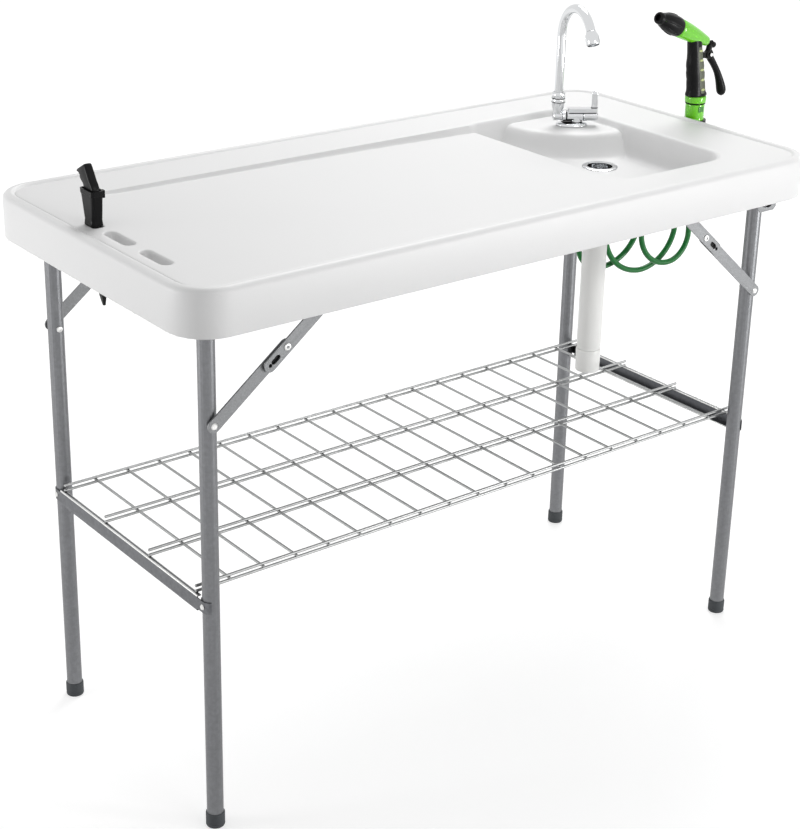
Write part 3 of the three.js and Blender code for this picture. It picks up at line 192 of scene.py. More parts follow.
def add_bevel(thing, width, segments=2, angle=35):
    bevel = thing.modifiers.new("soft_edges", "BEVEL")
    bevel.width = width * MM
    bevel.segments = segments
    bevel.limit_method = "ANGLE"
    bevel.angle_limit = math.radians(angle)
    bevel.harden_normals = False


def smooth_shade(thing, angle=38):
    mesh = thing.data
    mesh.polygons.foreach_set("use_smooth", [True] * len(mesh.polygons))
    mesh.set_sharp_from_angle(angle=math.radians(angle))


def settle(thing):
    """Makes what the modifiers show into the object's own mesh."""
    bpy.context.view_layer.update()
    seen = thing.evaluated_get(bpy.context.evaluated_depsgraph_get())
    mesh = bpy.data.meshes.new_from_object(seen)
    thing.modifiers.clear()
    thing.data = mesh


def cut(thing, shapes):
    """Takes the shapes out of a piece."""
    cutter = make_object("cutter", together(*shapes))
    hole = thing.modifiers.new("cut", "BOOLEAN")
    hole.operation = "DIFFERENCE"
    hole.solver = "EXACT"
    hole.object = cutter
    settle(thing)
    bpy.data.objects.remove(cutter)


def place(thing, body, slot, material, *nodes, shade=38):
    """Gives a finer piece its finish and body, and hides the solids that it stands for. Its slot is not used.
    """
    if thing.type == "MESH":
        smooth_shade(thing, shade)
    thing.data.materials.clear()
    thing.data.materials.append(material)
    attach(thing, body)
    if nodes:
        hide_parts(*nodes)


def add_piece(name, shape, body, look, *nodes, slot=None, matrix=None):
    """A finer piece with the finish called look. Its slot, the finish's name unless another is given, is not
    used.
    """
    place(make_object(name, shape, matrix), body, slot or look, finishes()[look], *nodes)


def dress(node, look, bevel=0.0):
    """Gives a solid its finish, with its edges softened by bevel millimetres."""
    thing = frame["nodes"][node]
    smooth_shade(thing)
    thing.data.materials.clear()
    thing.data.materials.append(finishes()[look])
    if bevel:
        add_bevel(thing, bevel)
    weights = thing.modifiers.new("even_normals", "WEIGHTED_NORMAL")
    weights.keep_sharp = True


# Finishes


def group(name, inputs, outputs):
    """An empty shader group with named sockets; gives its tree, and its two end nodes."""
    tree = bpy.data.node_groups.new(name, "ShaderNodeTree")
    for label, kind, value in inputs:
        socket = tree.interface.new_socket(label, in_out="INPUT", socket_type=kind)
        socket.default_value = value
    for label, kind in outputs:
        tree.interface.new_socket(label, in_out="OUTPUT", socket_type=kind)
    return tree, tree.nodes.new("NodeGroupInput"), tree.nodes.new("NodeGroupOutput")


def feed(tree, socket, value):
    """Links a socket to an output, or sets it to a number."""
    if isinstance(value, (int, float)):
        socket.default_value = value
    else:
        tree.links.new(value, socket)


def math_node(tree, operation, *values, clamp=False):
    """The result of a sum on outputs and numbers."""
    node = tree.nodes.new("ShaderNodeMath")
    node.operation = operation
    node.use_clamp = clamp
    for socket, value in zip(node.inputs, values):
        feed(tree, socket, value)
    return node.outputs[0]


def range_node(tree, value, from_min=0.0, from_max=1.0, to_min=0.0, to_max=1.0):
    """A value carried from one range to another, and kept inside it."""
    node = tree.nodes.new("ShaderNodeMapRange")
    limits = {"From Min": from_min, "From Max": from_max, "To Min": to_min, "To Max": to_max}
    for label, limit in limits.items():
        node.inputs[label].default_value = limit
    tree.links.new(value, node.inputs["Value"])
    return node.outputs["Result"]


def noise_node(tree, scale, detail):
    """Noise that is fixed to the piece."""
    where = tree.nodes.new("ShaderNodeTexCoord")
    node = tree.nodes.new("ShaderNodeTexNoise")
    node.inputs["Detail"].default_value = detail
    feed(tree, node.inputs["Scale"], scale)
    tree.links.new(where.outputs["Object"], node.inputs["Vector"])
    return node.outputs["Fac"]


def grain_group():
    """Fine relief and a slight change of colour and gloss, at a scale given in cells for each metre."""
    tree, given, made = group(
        "surface_grain",
        [
            ("Color", "NodeSocketColor", (0.8, 0.8, 0.8, 1)),
            ("Scale", "NodeSocketFloat", 600.0),
            ("Mottle", "NodeSocketFloat", 0.05),
            ("Speckle", "NodeSocketFloat", 0.0),
            ("Roughness", "NodeSocketFloat", 0.4),
            ("Spread", "NodeSocketFloat", 0.06),
        ],
        [("Color", "NodeSocketColor"), ("Roughness", "NodeSocketFloat"), ("Height", "NodeSocketFloat")],
    )
    fine = noise_node(tree, given.outputs["Scale"], 3.0)
    patches = math_node(tree, "SUBTRACT", noise_node(tree, 7.0, 4.0), 0.5)
    mottle = math_node(tree, "MULTIPLY", patches, given.outputs["Mottle"])
    dots = math_node(tree, "SUBTRACT", fine, 0.5)
    speckle = math_node(tree, "MULTIPLY_ADD", dots, given.outputs["Speckle"], 1.0)
    shade = tree.nodes.new("ShaderNodeHueSaturation")
    feed(tree, shade.inputs["Color"], given.outputs["Color"])
    feed(tree, shade.inputs["Value"], math_node(tree, "ADD", mottle, speckle))
    gloss = math_node(tree, "MULTIPLY_ADD", patches, given.outputs["Spread"], given.outputs["Roughness"])
    feed(tree, made.inputs["Color"], shade.outputs["Color"])
    feed(tree, made.inputs["Roughness"], gloss)
    feed(tree, made.inputs["Height"], fine)
    return tree


def wear_group():
    """A mask of rubbed edges and small marks, from how the surface bends."""
    tree, given, made = group(
        "edge_wear",
        [("Amount", "NodeSocketFloat", 0.3), ("Scale", "NodeSocketFloat", 160.0)],
        [("Mask", "NodeSocketFloat")],
    )
    surface = tree.nodes.new("ShaderNodeNewGeometry")
    edge = range_node(tree, surface.outputs["Pointiness"], from_min=0.52, from_max=0.62)
    broken = math_node(tree, "MULTIPLY", edge, noise_node(tree, given.outputs["Scale"], 5.0))
    feed(tree, made.inputs["Mask"], math_node(tree, "MULTIPLY", broken, given.outputs["Amount"], clamp=True))
    return tree


GROUP_MAKERS = {"surface_grain": grain_group, "edge_wear": wear_group}
GROUPS = {}


def shared_group(name):
    if name not in GROUPS:
        GROUPS[name] = GROUP_MAKERS[name]()
    return GROUPS[name]


def finish(name, color, roughness=0.4, metallic=0.0, scale=600.0, mottle=0.05, speckle=0.0, spread=0.06,
           relief=0.1, depth=0.1, wear=0.0, worn=(0.6, 0.6, 0.6), coat=0.0, specular=0.5):
    """A material whose colour, gloss and relief come from the shared groups; depth is in millimetres."""
    material = bpy.data.materials.new(name)
    material.use_nodes = True
    nodes, links = material.node_tree.nodes, material.node_tree.links
    shader = nodes["Principled BSDF"]
    shader.inputs["Metallic"].default_value = metallic
    shader.inputs["Specular IOR Level"].default_value = specular
    shader.inputs["Coat Weight"].default_value = coat
    grain = nodes.new("ShaderNodeGroup")
    grain.node_tree = shared_group("surface_grain")
    given = {"Color": (*color, 1), "Scale": scale, "Mottle": mottle, "Speckle": speckle,
             "Roughness": roughness, "Spread": spread}
    for label, value in given.items():
        grain.inputs[label].default_value = value
    source = grain.outputs["Color"]
    if wear:
        rub = nodes.new("ShaderNodeGroup")
        rub.node_tree = shared_group("edge_wear")
        rub.inputs["Amount"].default_value = wear
        mix = nodes.new("ShaderNodeMix")
        mix.data_type = "RGBA"
        mix.inputs["B"].default_value = (*worn, 1)
        links.new(rub.outputs["Mask"], mix.inputs["Factor"])
        links.new(source, mix.inputs["A"])
        source = mix.outputs["Result"]
    links.new(source, shader.inputs["Base Color"])
    links.new(grain.outputs["Roughness"], shader.inputs["Roughness"])
    bump = nodes.new("ShaderNodeBump")
    bump.inputs["Strength"].default_value = relief
    bump.inputs["Distance"].default_value = depth * MM
    links.new(grain.outputs["Height"], bump.inputs["Height"])
    links.new(bump.outputs["Normal"], shader.inputs["Normal"])
    return material


# Each finish: the sidebar's colour that it takes, and how it looks
LOOKS = {
    "white_moulding": ("moulding", dict(roughness=0.45, scale=900, mottle=0.02, speckle=0.03, relief=0.15,
                                        depth=0.08)),
    "leg_paint": ("frame", dict(roughness=0.38, metallic=0.92, scale=420, mottle=0.12, speckle=0.12,
                                relief=0.25, wear=0.3, worn=(0.42, 0.43, 0.45))),
    "strap_steel": ("straps", dict(roughness=0.5, metallic=0.6, scale=700, mottle=0.14, speckle=0.8,
                                   relief=0.5, depth=0.12, wear=0.5, worn=(0.12, 0.12, 0.13))),
    "plate_steel": ("plates", dict(roughness=0.36, metallic=0.85, scale=500, mottle=0.15, speckle=0.25,
                                   relief=0.15, wear=0.3, worn=(0.6, 0.61, 0.63))),
    "dark_rubber": ("feet", dict(roughness=0.7, scale=800, mottle=0.15, speckle=0.2, relief=0.3)),
    "zinc": ("zinc", dict(roughness=0.3, metallic=1.0, scale=1100, mottle=0.12, speckle=0.1, spread=0.16,
                          relief=0.08)),
    "wire_zinc": ("wires", dict(roughness=0.42, metallic=1.0, scale=900, mottle=0.25, speckle=0.2,
                                spread=0.15, relief=0.12)),
    "chrome": ("chrome", dict(roughness=0.06, metallic=1.0, scale=500, mottle=0.02, spread=0.04,
                              relief=0.01)),
    "white_plastic": ("waste_hose", dict(roughness=0.38, scale=500, mottle=0.04, speckle=0.04, relief=0.08)),
    "green_hose": ("spray_hose", dict(roughness=0.36, scale=900, mottle=0.1, speckle=0.1, relief=0.08,
                                      specular=0.3)),
    "lime_plastic": ("lime", dict(roughness=0.2, scale=700, mottle=0.05, speckle=0.04, relief=0.04,
                                  coat=0.4)),
    "blade_steel": ("chrome", dict(roughness=0.25, metallic=1.0, scale=1600, mottle=0.05, speckle=0.1)),
    "black_plastic": ("black", dict(roughness=0.3, scale=1300, mottle=0.1, speckle=0.2, relief=0.18,
                                    specular=0.14)),
    "strip_rubber": ("strip", dict(roughness=0.5, scale=900, mottle=0.2, speckle=0.2, relief=0.2)),
    "pale_marks": ("marks", dict(roughness=0.4, scale=900, mottle=0.05, relief=0.05)),
    "button_plastic": ("button", dict(roughness=0.25, scale=700, mottle=0.05, relief=0.04, coat=0.2)),
}
FINISHES = {}


def finishes():
    """The table's finishes by name, made once from the colours in the sidebar."""
    if not FINISHES:
        colours = bpy.context.scene.fish_table_colours
        FINISHES.update((name, finish(name, getattr(colours, colour), **look))
                        for name, (colour, look) in LOOKS.items())
    return FINISHES


# Sizes and colours that a user would change


def size(label, text, default):
    return bpy.props.FloatProperty(name=label, description=text, default=default, unit="LENGTH", precision=4)


def tone(label, text, default):
    return bpy.props.FloatVectorProperty(name=label, description=text, default=default, subtype="COLOR",
                                         size=3, min=0.0, max=1.0)


class FishTableSizes(bpy.types.PropertyGroup):
    """Lengths that shape the finer pieces"""

    edge_radius: size("Edge radius", "Rounding of the top's outer edge", 0.010)
    lip_rise: size("Lip rise", "Height of the raised lip above the work surface", 0.003)
    sink_depth: size("Sink depth", "Depth of the sink below the work surface", 0.052)
    channel_depth: size("Channel depth", "Depth of the drip channel where it meets the sink", 0.015)
    wire_radius: size("Wire radius", "Radius of the rack's wires", 0.0023)
    spout_radius: size("Spout radius", "Radius of the tap's spout", 0.0082)
    hose_radius: size("Hose radius", "Radius of the spray hose", 0.0051)


class FishTableColours(bpy.types.PropertyGroup):
    """Base colours of the finishes"""

    moulding: tone("Moulding", "White moulded top", (0.83, 0.83, 0.83))
    frame: tone("Frame", "Grey coating of the legs", (0.15, 0.152, 0.158))
    straps: tone("Straps", "Grey of the brace straps and rails", (0.24, 0.245, 0.25))
    plates: tone("Plates", "Steel of the rack's end plates", (0.07, 0.073, 0.08))
    feet: tone("Feet", "Rubber feet", (0.045, 0.05, 0.055))
    zinc: tone("Zinc", "Plated rivets and nuts", (0.72, 0.72, 0.71))
    wires: tone("Wires", "Plated wires of the rack", (0.34, 0.345, 0.345))
    chrome: tone("Chrome", "Tap and drain", (0.70, 0.71, 0.72))
    waste_hose: tone("Waste hose", "White drain hose", (0.88, 0.88, 0.86))
    spray_hose: tone("Spray hose", "Green spray hose", (0.006, 0.16, 0.028))
    lime: tone("Lime", "Sprayer body and connector", (0.16, 0.64, 0.012))
    black: tone("Black", "Black plastic of the sprayer and knife", (0.005, 0.005, 0.0055))
    strip: tone("Strip", "Soft strip down the sprayer's grip", (0.085, 0.095, 0.06))
    marks: tone("Marks", "Pale raised marks on the grip", (0.50, 0.56, 0.24))
    button: tone("Button", "Thumb button of the hose connector", (0.03, 0.23, 0.012))


# Stage

CAMERA_PLACE = mm(-1721.6, -2145.3, 1670.6)
CAMERA_YAW = 0.665
CAMERA_PITCH = 0.375
CAMERA_ROLL = 0.022
FOCAL_PIXELS = 1790.7
CENTRE_ROW = 340.0
PICTURE_HEIGHT = 829


def camera_matrix():
    """The camera's place and turn, fitted to the photograph."""
    yaw, pitch, roll = CAMERA_YAW, CAMERA_PITCH, CAMERA_ROLL
    ahead = Vector((math.sin(yaw) * math.cos(pitch), math.cos(yaw) * math.cos(pitch), -math.sin(pitch)))
    right = Vector((math.cos(yaw), -math.sin(yaw), 0))
    up = right.cross(ahead)
    right_rolled = right * math.cos(roll) + up * math.sin(roll)
    up_rolled = up * math.cos(roll) - right * math.sin(roll)
    turn = Matrix((right_rolled, up_rolled, -ahead)).transposed().to_4x4()
    return Matrix.Translation(CAMERA_PLACE) @ turn


def make_camera():
    lens = bpy.data.cameras.new("camera")
    lens.sensor_width = 36.0
    lens.lens = lens.sensor_width * FOCAL_PIXELS / PICTURE_HEIGHT
    lens.shift_y = -(PICTURE_HEIGHT / 2 - CENTRE_ROW) / PICTURE_HEIGHT
    lens.clip_end = 100
    camera = bpy.data.objects.new("camera", lens)
    camera.matrix_world = camera_matrix()
    bpy.context.scene.collection.objects.link(camera)
    bpy.context.scene.camera = camera


def add_lamp(name, stand, target, power, width, height):
    """A soft rectangular lamp at stand that looks at target, in metres and watts."""
    lamp = bpy.data.lights.new(name, "AREA")
    lamp.shape = "RECTANGLE"
    lamp.size = width
    lamp.size_y = height
    lamp.energy = power
    thing = bpy.data.objects.new(name, lamp)
    thing.location = stand
    thing.rotation_mode = "QUATERNION"
    thing.rotation_quaternion = (Vector(target) - Vector(stand)).to_track_quat("-Z", "Y")
    bpy.context.scene.collection.objects.link(thing)


def seen_directly(tree):
    """One for rays that reach the eye straight, by reflection or through glass."""
    path = tree.nodes.new("ShaderNodeLightPath")
    straight = math_node(tree, "MAXIMUM", path.outputs["Is Camera Ray"], path.outputs["Is Glossy Ray"])
    return math_node(tree, "MAXIMUM", straight, path.outputs["Is Transmission Ray"])


WORLD_LIGHT = 0.42
FLOOR_REACH = 12.0
FLOOR_DROP = 0.0005
FLOOR_SHADE = 0.55
# The floor's own glow near the table and far from it, and where the one gives way to the other
FLOOR_GLOWS = (0.6, 0.85)
FLOOR_GLOW_REACHES = (0.6, 4.5)


def make_world():
    world = bpy.data.worlds.new("studio")
    world.use_nodes = True
    tree = world.node_tree
    back = tree.nodes["Background"]
    back.inputs["Color"].default_value = (1, 1, 1, 1)
    feed(tree, back.inputs["Strength"], range_node(tree, seen_directly(tree), to_min=WORLD_LIGHT))
    bpy.context.scene.world = world


def make_floor():
    corners = [(x * FLOOR_REACH, y * FLOOR_REACH, 0) for x, y in ((-1, -1), (1, -1), (1, 1), (-1, 1))]
    mesh = bpy.data.meshes.new("floor")
    mesh.from_pydata(corners, [], [(0, 1, 2, 3)])
    floor = bpy.data.objects.new("floor", mesh)
    floor.location.z = -FLOOR_DROP
    bpy.context.scene.collection.objects.link(floor)
    material = bpy.data.materials.new("pale_floor")
    material.use_nodes = True
    tree = material.node_tree
    shader = tree.nodes["Principled BSDF"]
    shader.inputs["Base Color"].default_value = (FLOOR_SHADE, FLOOR_SHADE, FLOOR_SHADE, 1)
    shader.inputs["Roughness"].default_value = 0.9
    shader.inputs["Specular IOR Level"].default_value = 0.1
    shader.inputs["Emission Color"].default_value = (1, 1, 1, 1)
    where = tree.nodes.new("ShaderNodeTexCoord")
    distance = tree.nodes.new("ShaderNodeVectorMath")
    distance.operation = "LENGTH"
    feed(tree, distance.inputs[0], where.outputs["Object"])
    far = range_node(tree, distance.outputs["Value"], *FLOOR_GLOW_REACHES, *FLOOR_GLOWS)
    feed(tree, shader.inputs["Emission Strength"], math_node(tree, "MULTIPLY", seen_directly(tree), far))
    mesh.materials.append(material)


# Spray hose

HOSE_START = (434.0, 112.0, 804.1)
HOSE_END = (634.0, 15.0, 820.2)
HOSE_LOOPS = ((466, 58, 668, 60), (546, 36, 664, 70), (592, 12, 656, 49))
HOSE_STEPS = 24
HOSE_STRAIGHT = 10.2


def hose_stations():
    """The hose's route: down from the tee, round its loops, and up to the connector."""
    start, end = Vector(HOSE_START), Vector(HOSE_END)
    leave = start - Vector((0, 0, HOSE_STRAIGHT))
    x, y, z, radius = HOSE_LOOPS[0]
    points = [start, leave, leave.lerp(Vector((x - radius, y, z)), 0.45)]
    turns = len(HOSE_LOOPS) - 1
    first, last = -math.pi / 2, turns * TURN + math.pi / 2
    steps = round(HOSE_STEPS * (last - first) / TURN)
    for step in range(steps + 1):
        angle = first + (last - first) * step / steps
        along = min(max(angle / TURN, 0), turns)
        index = min(int(along), turns - 1)
        share = along - index
        nearby = zip(HOSE_LOOPS[index], HOSE_LOOPS[index + 1])
        x, y, z, radius = (a * (1 - share) + b * share for a, b in nearby)
        points.append(Vector((x + radius * math.sin(angle), y, z - radius * math.cos(angle))))
    points.append(points[-1].lerp(end, 0.5))
    points += [end - Vector((0, 0, HOSE_STRAIGHT)), end]
    return points


def through(points, fine=8):
    """Points of the centripetal curve that passes through the given ones."""
    ends = [points[0] * 2 - points[1], *points, points[-1] * 2 - points[-2]]
    line = []
    for a, b, c, d in zip(ends, ends[1:], ends[2:], ends[3:]):
        before, here, after = ((q - p).length ** 0.5 for p, q in ((a, b), (b, c), (c, d)))
        leave = ((b - a) / before - (c - a) / (before + here) + (c - b) / here) * here
        arrive = ((c - b) / here - (d - b) / (here + after) + (d - c) / after) * here
        for step in range(fine):
            t = step / fine
            line.append(b + leave * t + (b * -3 + c * 3 - leave * 2 - arrive) * t * t
                        + (b * 2 - c * 2 + leave + arrive) * t ** 3)
    line.append(points[-1])
    return line


class FISHTABLE_OT_stage(bpy.types.Operator):
    """Makes the floor, the soft studio light and the camera"""

    bl_idname = "fish_table.stage"
    bl_label = "Stage"

    def execute(self, context):
        make_camera()
        make_world()
        make_floor()
        add_lamp("top_lamp", (1.5, 1.2, 3.2), (0, 0, 0.88), 56, 1.6, 1.6)
        add_lamp("left_lamp", (-2.7, 1.1, 0.8), (-0.4, 0, 0.7), 29, 0.9, 1.0)
        add_lamp("right_lamp", (2.1, -3.1, 0.6), (0.1, 0, 0.6), 58, 0.5, 1.2)
        add_lamp("fill_lamp", (0.2, -3.0, 2.3), (0.1, 0, 0.8), 15, 1.4, 1.0)
        context.scene.view_settings.view_transform = "Standard"
        return {"FINISHED"}


class FISHTABLE_OT_spray_hose(bpy.types.Operator):
    """Makes the looped green hose between the tap's tee and the sprayer's connector"""

    bl_idname = "fish_table.spray_hose"
    bl_label = "Spray hose"

    def execute(self, context):
        radius = context.scene.fish_table_sizes.hose_radius
        curve = bpy.data.curves.new("spray_hose_tube", "CURVE")
        curve.dimensions = "3D"
        curve.bevel_depth = radius
        curve.bevel_resolution = 6
        curve.use_fill_caps = True
        line = through(hose_stations())
        spline = curve.splines.new("POLY")
        spline.points.add(len(line) - 1)
        for point, where in zip(spline.points, line):
            point.co = (*(where * MM), 1)
        spline.use_smooth = True
        hose = bpy.data.objects.new("spray_hose_tube", curve)
        context.scene.collection.objects.link(hose)
        place(hose, "table", "green_hose", finishes()["green_hose"], "spray_hose")
        return {"FINISHED"}


# Moulded top

TOP_LOW, TOP_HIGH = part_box("tabletop")
SINK = {"left": 229, "right": 480, "front": -208, "rear": 186, "corner": 45}
# Fall of the sink's wall: places in from its outline, and the share of the depth there
SINK_INSETS = [-5, -1.6, 0.8, 6, 9.6, 16, 27]
SINK_DEPTHS = [0, 0.06, 0.14, 0.6, 0.85, 0.97, 1]
SHELF_RADIUS = 150
SHELF_DROP = 11
# Fall from the tap shelf: places out from its edge, and the share of the fall there
SHELF_REACHES = [-17, -9, -2, 5, 13, 21, 31]
SHELF_DEPTHS = [0, 0.03, 0.12, 0.36, 0.7, 0.92, 1]
CHANNEL_LEFT = -488
CHANNEL_REAR = 183
CHANNEL_WIDTH = 43
# The channel's width and depth, as shares, at shares of its length
CHANNEL_ALONG = [0, 0.06, 0.4, 0.8, 1, 1.06]
CHANNEL_WIDTHS = [0.42, 0.5, 0.64, 0.86, 1, 1]
CHANNEL_DEPTHS = [0.34, 0.44, 0.56, 0.76, 1, 1.1]
# The channel's section: shares of its width, and of its depth there
CHANNEL_ACROSS = [0, 0.06, 0.2, 0.6, 0.85, 1]
CHANNEL_DOWN = [0, 0.72, 1, 1, 0.6, 0]
SLOT_X = -563.5
# Middle of each slot, its half width and half length, and the radius of its corners
SLOTS = ((44.65, 8.2, 13.95, 4), (-27.5, 9, 35, 9), (-127.5, 9, 35, 9))
DRAIN = (386, -5)
TAP = (434, 112)
PANEL = 21
SKIN = 5
GRID_INSET = 24
APRON_WALL = 7
CORNER_RADIUS = 62
# Round the lip, from the work surface up: places in from the edge, and the share of the lip's rise there
LIP = ((20.5, 0), (19.6, -0.1), (18.6, -0.42), (17.5, -0.42), (16.5, -0.06), (15.3, 0.32), (13.5, 0.86),
       (12, 1))
EDGE_STEPS = 5
# Mouth of a tool slot: height over the work surface, and how much wider it is there
SLOT_MOUTH = ((0.3, 2.2), (-0.5, 1.2), (-1.5, 0.5), (-3, 0.1), (-6, 0))
CUT_OVERRUN = 8
DRAIN_HOLE_RADIUS = 24.3
DRAIN_HOLE_REACH = (-30, 10)
TAP_HOLE_RADIUS = 9.8


def blurred(values, xs, ys, spread):
    """A line through the points xs and ys, with its bends softened over the spread."""
    shifts = (-1, -0.5, 0, 0.5, 1)
    return sum(np.interp(values + shift * spread, xs, ys) for shift in shifts) / len(shifts)


def sink_drop(x, y, depth, grow=0.0):
    """Depth of the sink and its tap shelf below the work surface."""
    middle_x, middle_y = (SINK["left"] + SINK["right"]) / 2, (SINK["front"] + SINK["rear"]) / 2
    corner = SINK["corner"] + grow
    over_x = np.abs(x - middle_x) - (SINK["right"] - SINK["left"]) / 2 - grow + corner
    over_y = np.abs(y - middle_y) - (SINK["rear"] - SINK["front"]) / 2 - grow + corner
    outside = np.hypot(np.maximum(over_x, 0), np.maximum(over_y, 0))
    inset = corner - outside - np.minimum(np.maximum(over_x, over_y), 0)
    basin = depth * blurred(inset, SINK_INSETS, SINK_DEPTHS, 2.5)
    reach = np.hypot(x - SINK["right"], y - SINK["rear"]) - SHELF_RADIUS + grow
    fall = depth - SHELF_DROP
    shelf = SHELF_DROP + fall * blurred(reach, SHELF_REACHES, SHELF_DEPTHS, 3)
    return np.minimum(basin, shelf)


def channel_drop(x, y, depth):
    """Depth of the drip channel below the work surface."""
    along = (x - CHANNEL_LEFT) / (SINK["left"] - CHANNEL_LEFT)
    width = CHANNEL_WIDTH * np.interp(along, CHANNEL_ALONG, CHANNEL_WIDTHS)
    down = depth * np.interp(along, CHANNEL_ALONG, CHANNEL_DEPTHS)
    inside = (along >= 0) & (along <= CHANNEL_ALONG[-1])
    across = (CHANNEL_REAR - y) / width
    return np.where(inside, down * blurred(across, CHANNEL_ACROSS, CHANNEL_DOWN, 0.03), 0)


def spaced(stops):
    """Grid lines through (place, spacing) stops, each spacing holding up to the next stop."""
    lines = []
    for (start, spacing), (end, _) in zip(stops, stops[1:]):
        count = max(1, round((end - start) / spacing))
        lines += [start + (end - start) * step / count for step in range(count)]
    return lines + [stops[-1][0]]


def edge_walk(columns, rows):
    """Grid indices once round the border, counter-clockwise."""
    walk = [(i, 0) for i in range(columns - 1)]
    walk += [(columns - 1, j) for j in range(rows - 1)]
    walk += [(i, rows - 1) for i in range(columns - 1, 0, -1)]
    walk += [(0, j) for j in range(rows - 1, 0, -1)]
    return walk


def border_point(x, y, half_x, half_y, inset, z):
    """The place on the rounded outline, inset from the edge, that a border point of the grid belongs to."""
    radius = CORNER_RADIUS - inset
    out_x, out_y = half_x - CORNER_RADIUS, half_y - CORNER_RADIUS
    grid_x, grid_y = half_x - GRID_INSET, half_y - GRID_INSET
    share_x = max(0, (abs(x) - out_x) / (grid_x - out_x))
    share_y = max(0, (abs(y) - out_y) / (grid_y - out_y))
    on_side = abs(abs(y) - grid_y) < 1e-6
    if share_x == 0 and on_side:
        return x, math.copysign(half_y - inset, y), z
    if share_y == 0 and not on_side:
        return math.copysign(half_x - inset, x), y, z
    turn = math.atan2(share_y, share_x)
    return (math.copysign(out_x + radius * math.cos(turn), x),
            math.copysign(out_y + radius * math.sin(turn), y), z)


def rounded_corners(x, y, half_x, half_y):
    """Draws the grid's square corners in to the arc that the lip follows there."""
    over_x = np.maximum(np.abs(x) - half_x + CORNER_RADIUS, 0)
    over_y = np.maximum(np.abs(y) - half_y + CORNER_RADIUS, 0)
    share = np.maximum(over_x, over_y) / np.maximum(np.hypot(over_x, over_y), 1e-9)
    share = np.where((over_x > 0) & (over_y > 0), share, 1)
    return (x - np.sign(x) * over_x * (1 - share), y - np.sign(y) * over_y * (1 - share))


def edge_section(field, rim, bottom, edge_radius):
    """From the work surface over the lip and the edge, down the apron and up its inside: inset and height."""
    section = [(inset, field + (rim - field) * share) for inset, share in LIP]
    for step in range(EDGE_STEPS + 1):
        angle = step / EDGE_STEPS * math.pi / 2
        section.append((edge_radius * (1 - math.sin(angle)), rim - edge_radius * (1 - math.cos(angle))))
    section += [(0, bottom + 2), (0.6, bottom + 0.6), (2, bottom), (APRON_WALL - 2, bottom)]
    section += [(APRON_WALL - 0.6, bottom + 0.6), (APRON_WALL, bottom + 2)]
    under = field - PANEL
    section += [(APRON_WALL, under - 4), (APRON_WALL + 1.2, under - 1.2), (APRON_WALL + 4, under)]
    return section


def top_shape(lip_rise, edge_radius, sink_depth, channel_depth):
    """The top as a fine grid above and below, closed round its edge by the lip and the apron."""
    half_x, half_y = (TOP_HIGH.x - TOP_LOW.x) / 2 / MM, (TOP_HIGH.y - TOP_LOW.y) / 2 / MM
    rim, bottom = TOP_HIGH.z / MM, TOP_LOW.z / MM
    field = rim - lip_rise
    limit_x, limit_y = half_x - GRID_INSET, half_y - GRID_INSET
    xs = spaced([(-limit_x, 6), (-545, 14), (215, 3), (270, 6), (296, 2.5), (492, 12), (limit_x, 12)])
    ys = spaced([(-limit_y, 12), (-218, 3), (-170, 9), (4, 2.5), (196, 12), (limit_y, 12)])
    grid_x, grid_y = np.meshgrid(xs, ys, indexing="ij")
    drop = np.maximum(sink_drop(grid_x, grid_y, sink_depth), channel_drop(grid_x, grid_y, channel_depth))
    upper = field - drop
    lower = np.minimum(field - PANEL, field - SKIN - sink_drop(grid_x, grid_y, sink_depth, SKIN))
    columns, rows = len(xs), len(ys)
    seen_x, seen_y = rounded_corners(grid_x, grid_y, half_x, half_y)
    points = [(seen_x[i, j], seen_y[i, j], level[i, j])
              for level in (upper, lower) for i in range(columns) for j in range(rows)]
    under = columns * rows
    faces = []
    for i in range(columns - 1):
        for j in range(rows - 1):
            a, b, c, d = (i * rows + j, (i + 1) * rows + j, (i + 1) * rows + j + 1, i * rows + j + 1)
            faces.append((a, b, c, d))
            faces.append((under + d, under + c, under + b, under + a))
    walk = edge_walk(columns, rows)
    previous = [i * rows + j for i, j in walk]
    for inset, z in edge_section(field, rim, bottom, edge_radius):
        current = range(len(points), len(points) + len(walk))
        points += [border_point(xs[i], ys[j], half_x, half_y, inset, z) for i, j in walk]
        faces += band(current, previous)
        previous = current
    faces += band([under + i * rows + j for i, j in walk], previous)
    return points, faces


def slot_cutter(y, half_width, half_length, corner, field):
    widest = SLOT_MOUTH[0][1]
    mouth = [(CUT_OVERRUN, widest), *SLOT_MOUTH, (-PANEL - CUT_OVERRUN, 0)]
    rings = []
    for rise, flare in reversed(mouth):
        sizes = (size + flare for size in (half_width, half_length, corner))
        rings.append(rounded_ring(SLOT_X, y, field + rise, *sizes, 8))
    return loft(rings)


class FISHTABLE_OT_top(bpy.types.Operator):
    """Makes the moulded top with its lip, sink, tap shelf, drip channel and tool slots"""

    bl_idname = "fish_table.top"
    bl_label = "Moulded top"

    def execute(self, context):
        sizes = context.scene.fish_table_sizes
        lengths = (sizes.lip_rise, sizes.edge_radius, sizes.sink_depth, sizes.channel_depth)
        top = make_object("moulded_top", top_shape(*(length / MM for length in lengths)))
        field = (TOP_HIGH.z - sizes.lip_rise) / MM
        floor = field - sizes.sink_depth / MM
        holes = [slot_cutter(*slot, field) for slot in SLOTS]
        holes.append(lathe([(DRAIN_HOLE_RADIUS, floor + reach) for reach in DRAIN_HOLE_REACH], (*DRAIN, 0)))
        holes.append(lathe([(TAP_HOLE_RADIUS, z) for z in (floor, field)], (*TAP, 0), count=24))
        cut(top, holes)
        place(top, "table", "white_moulding", finishes()["white_moulding"], "tabletop", shade=50)
        return {"FINISHED"}


# Frames, braces and rails

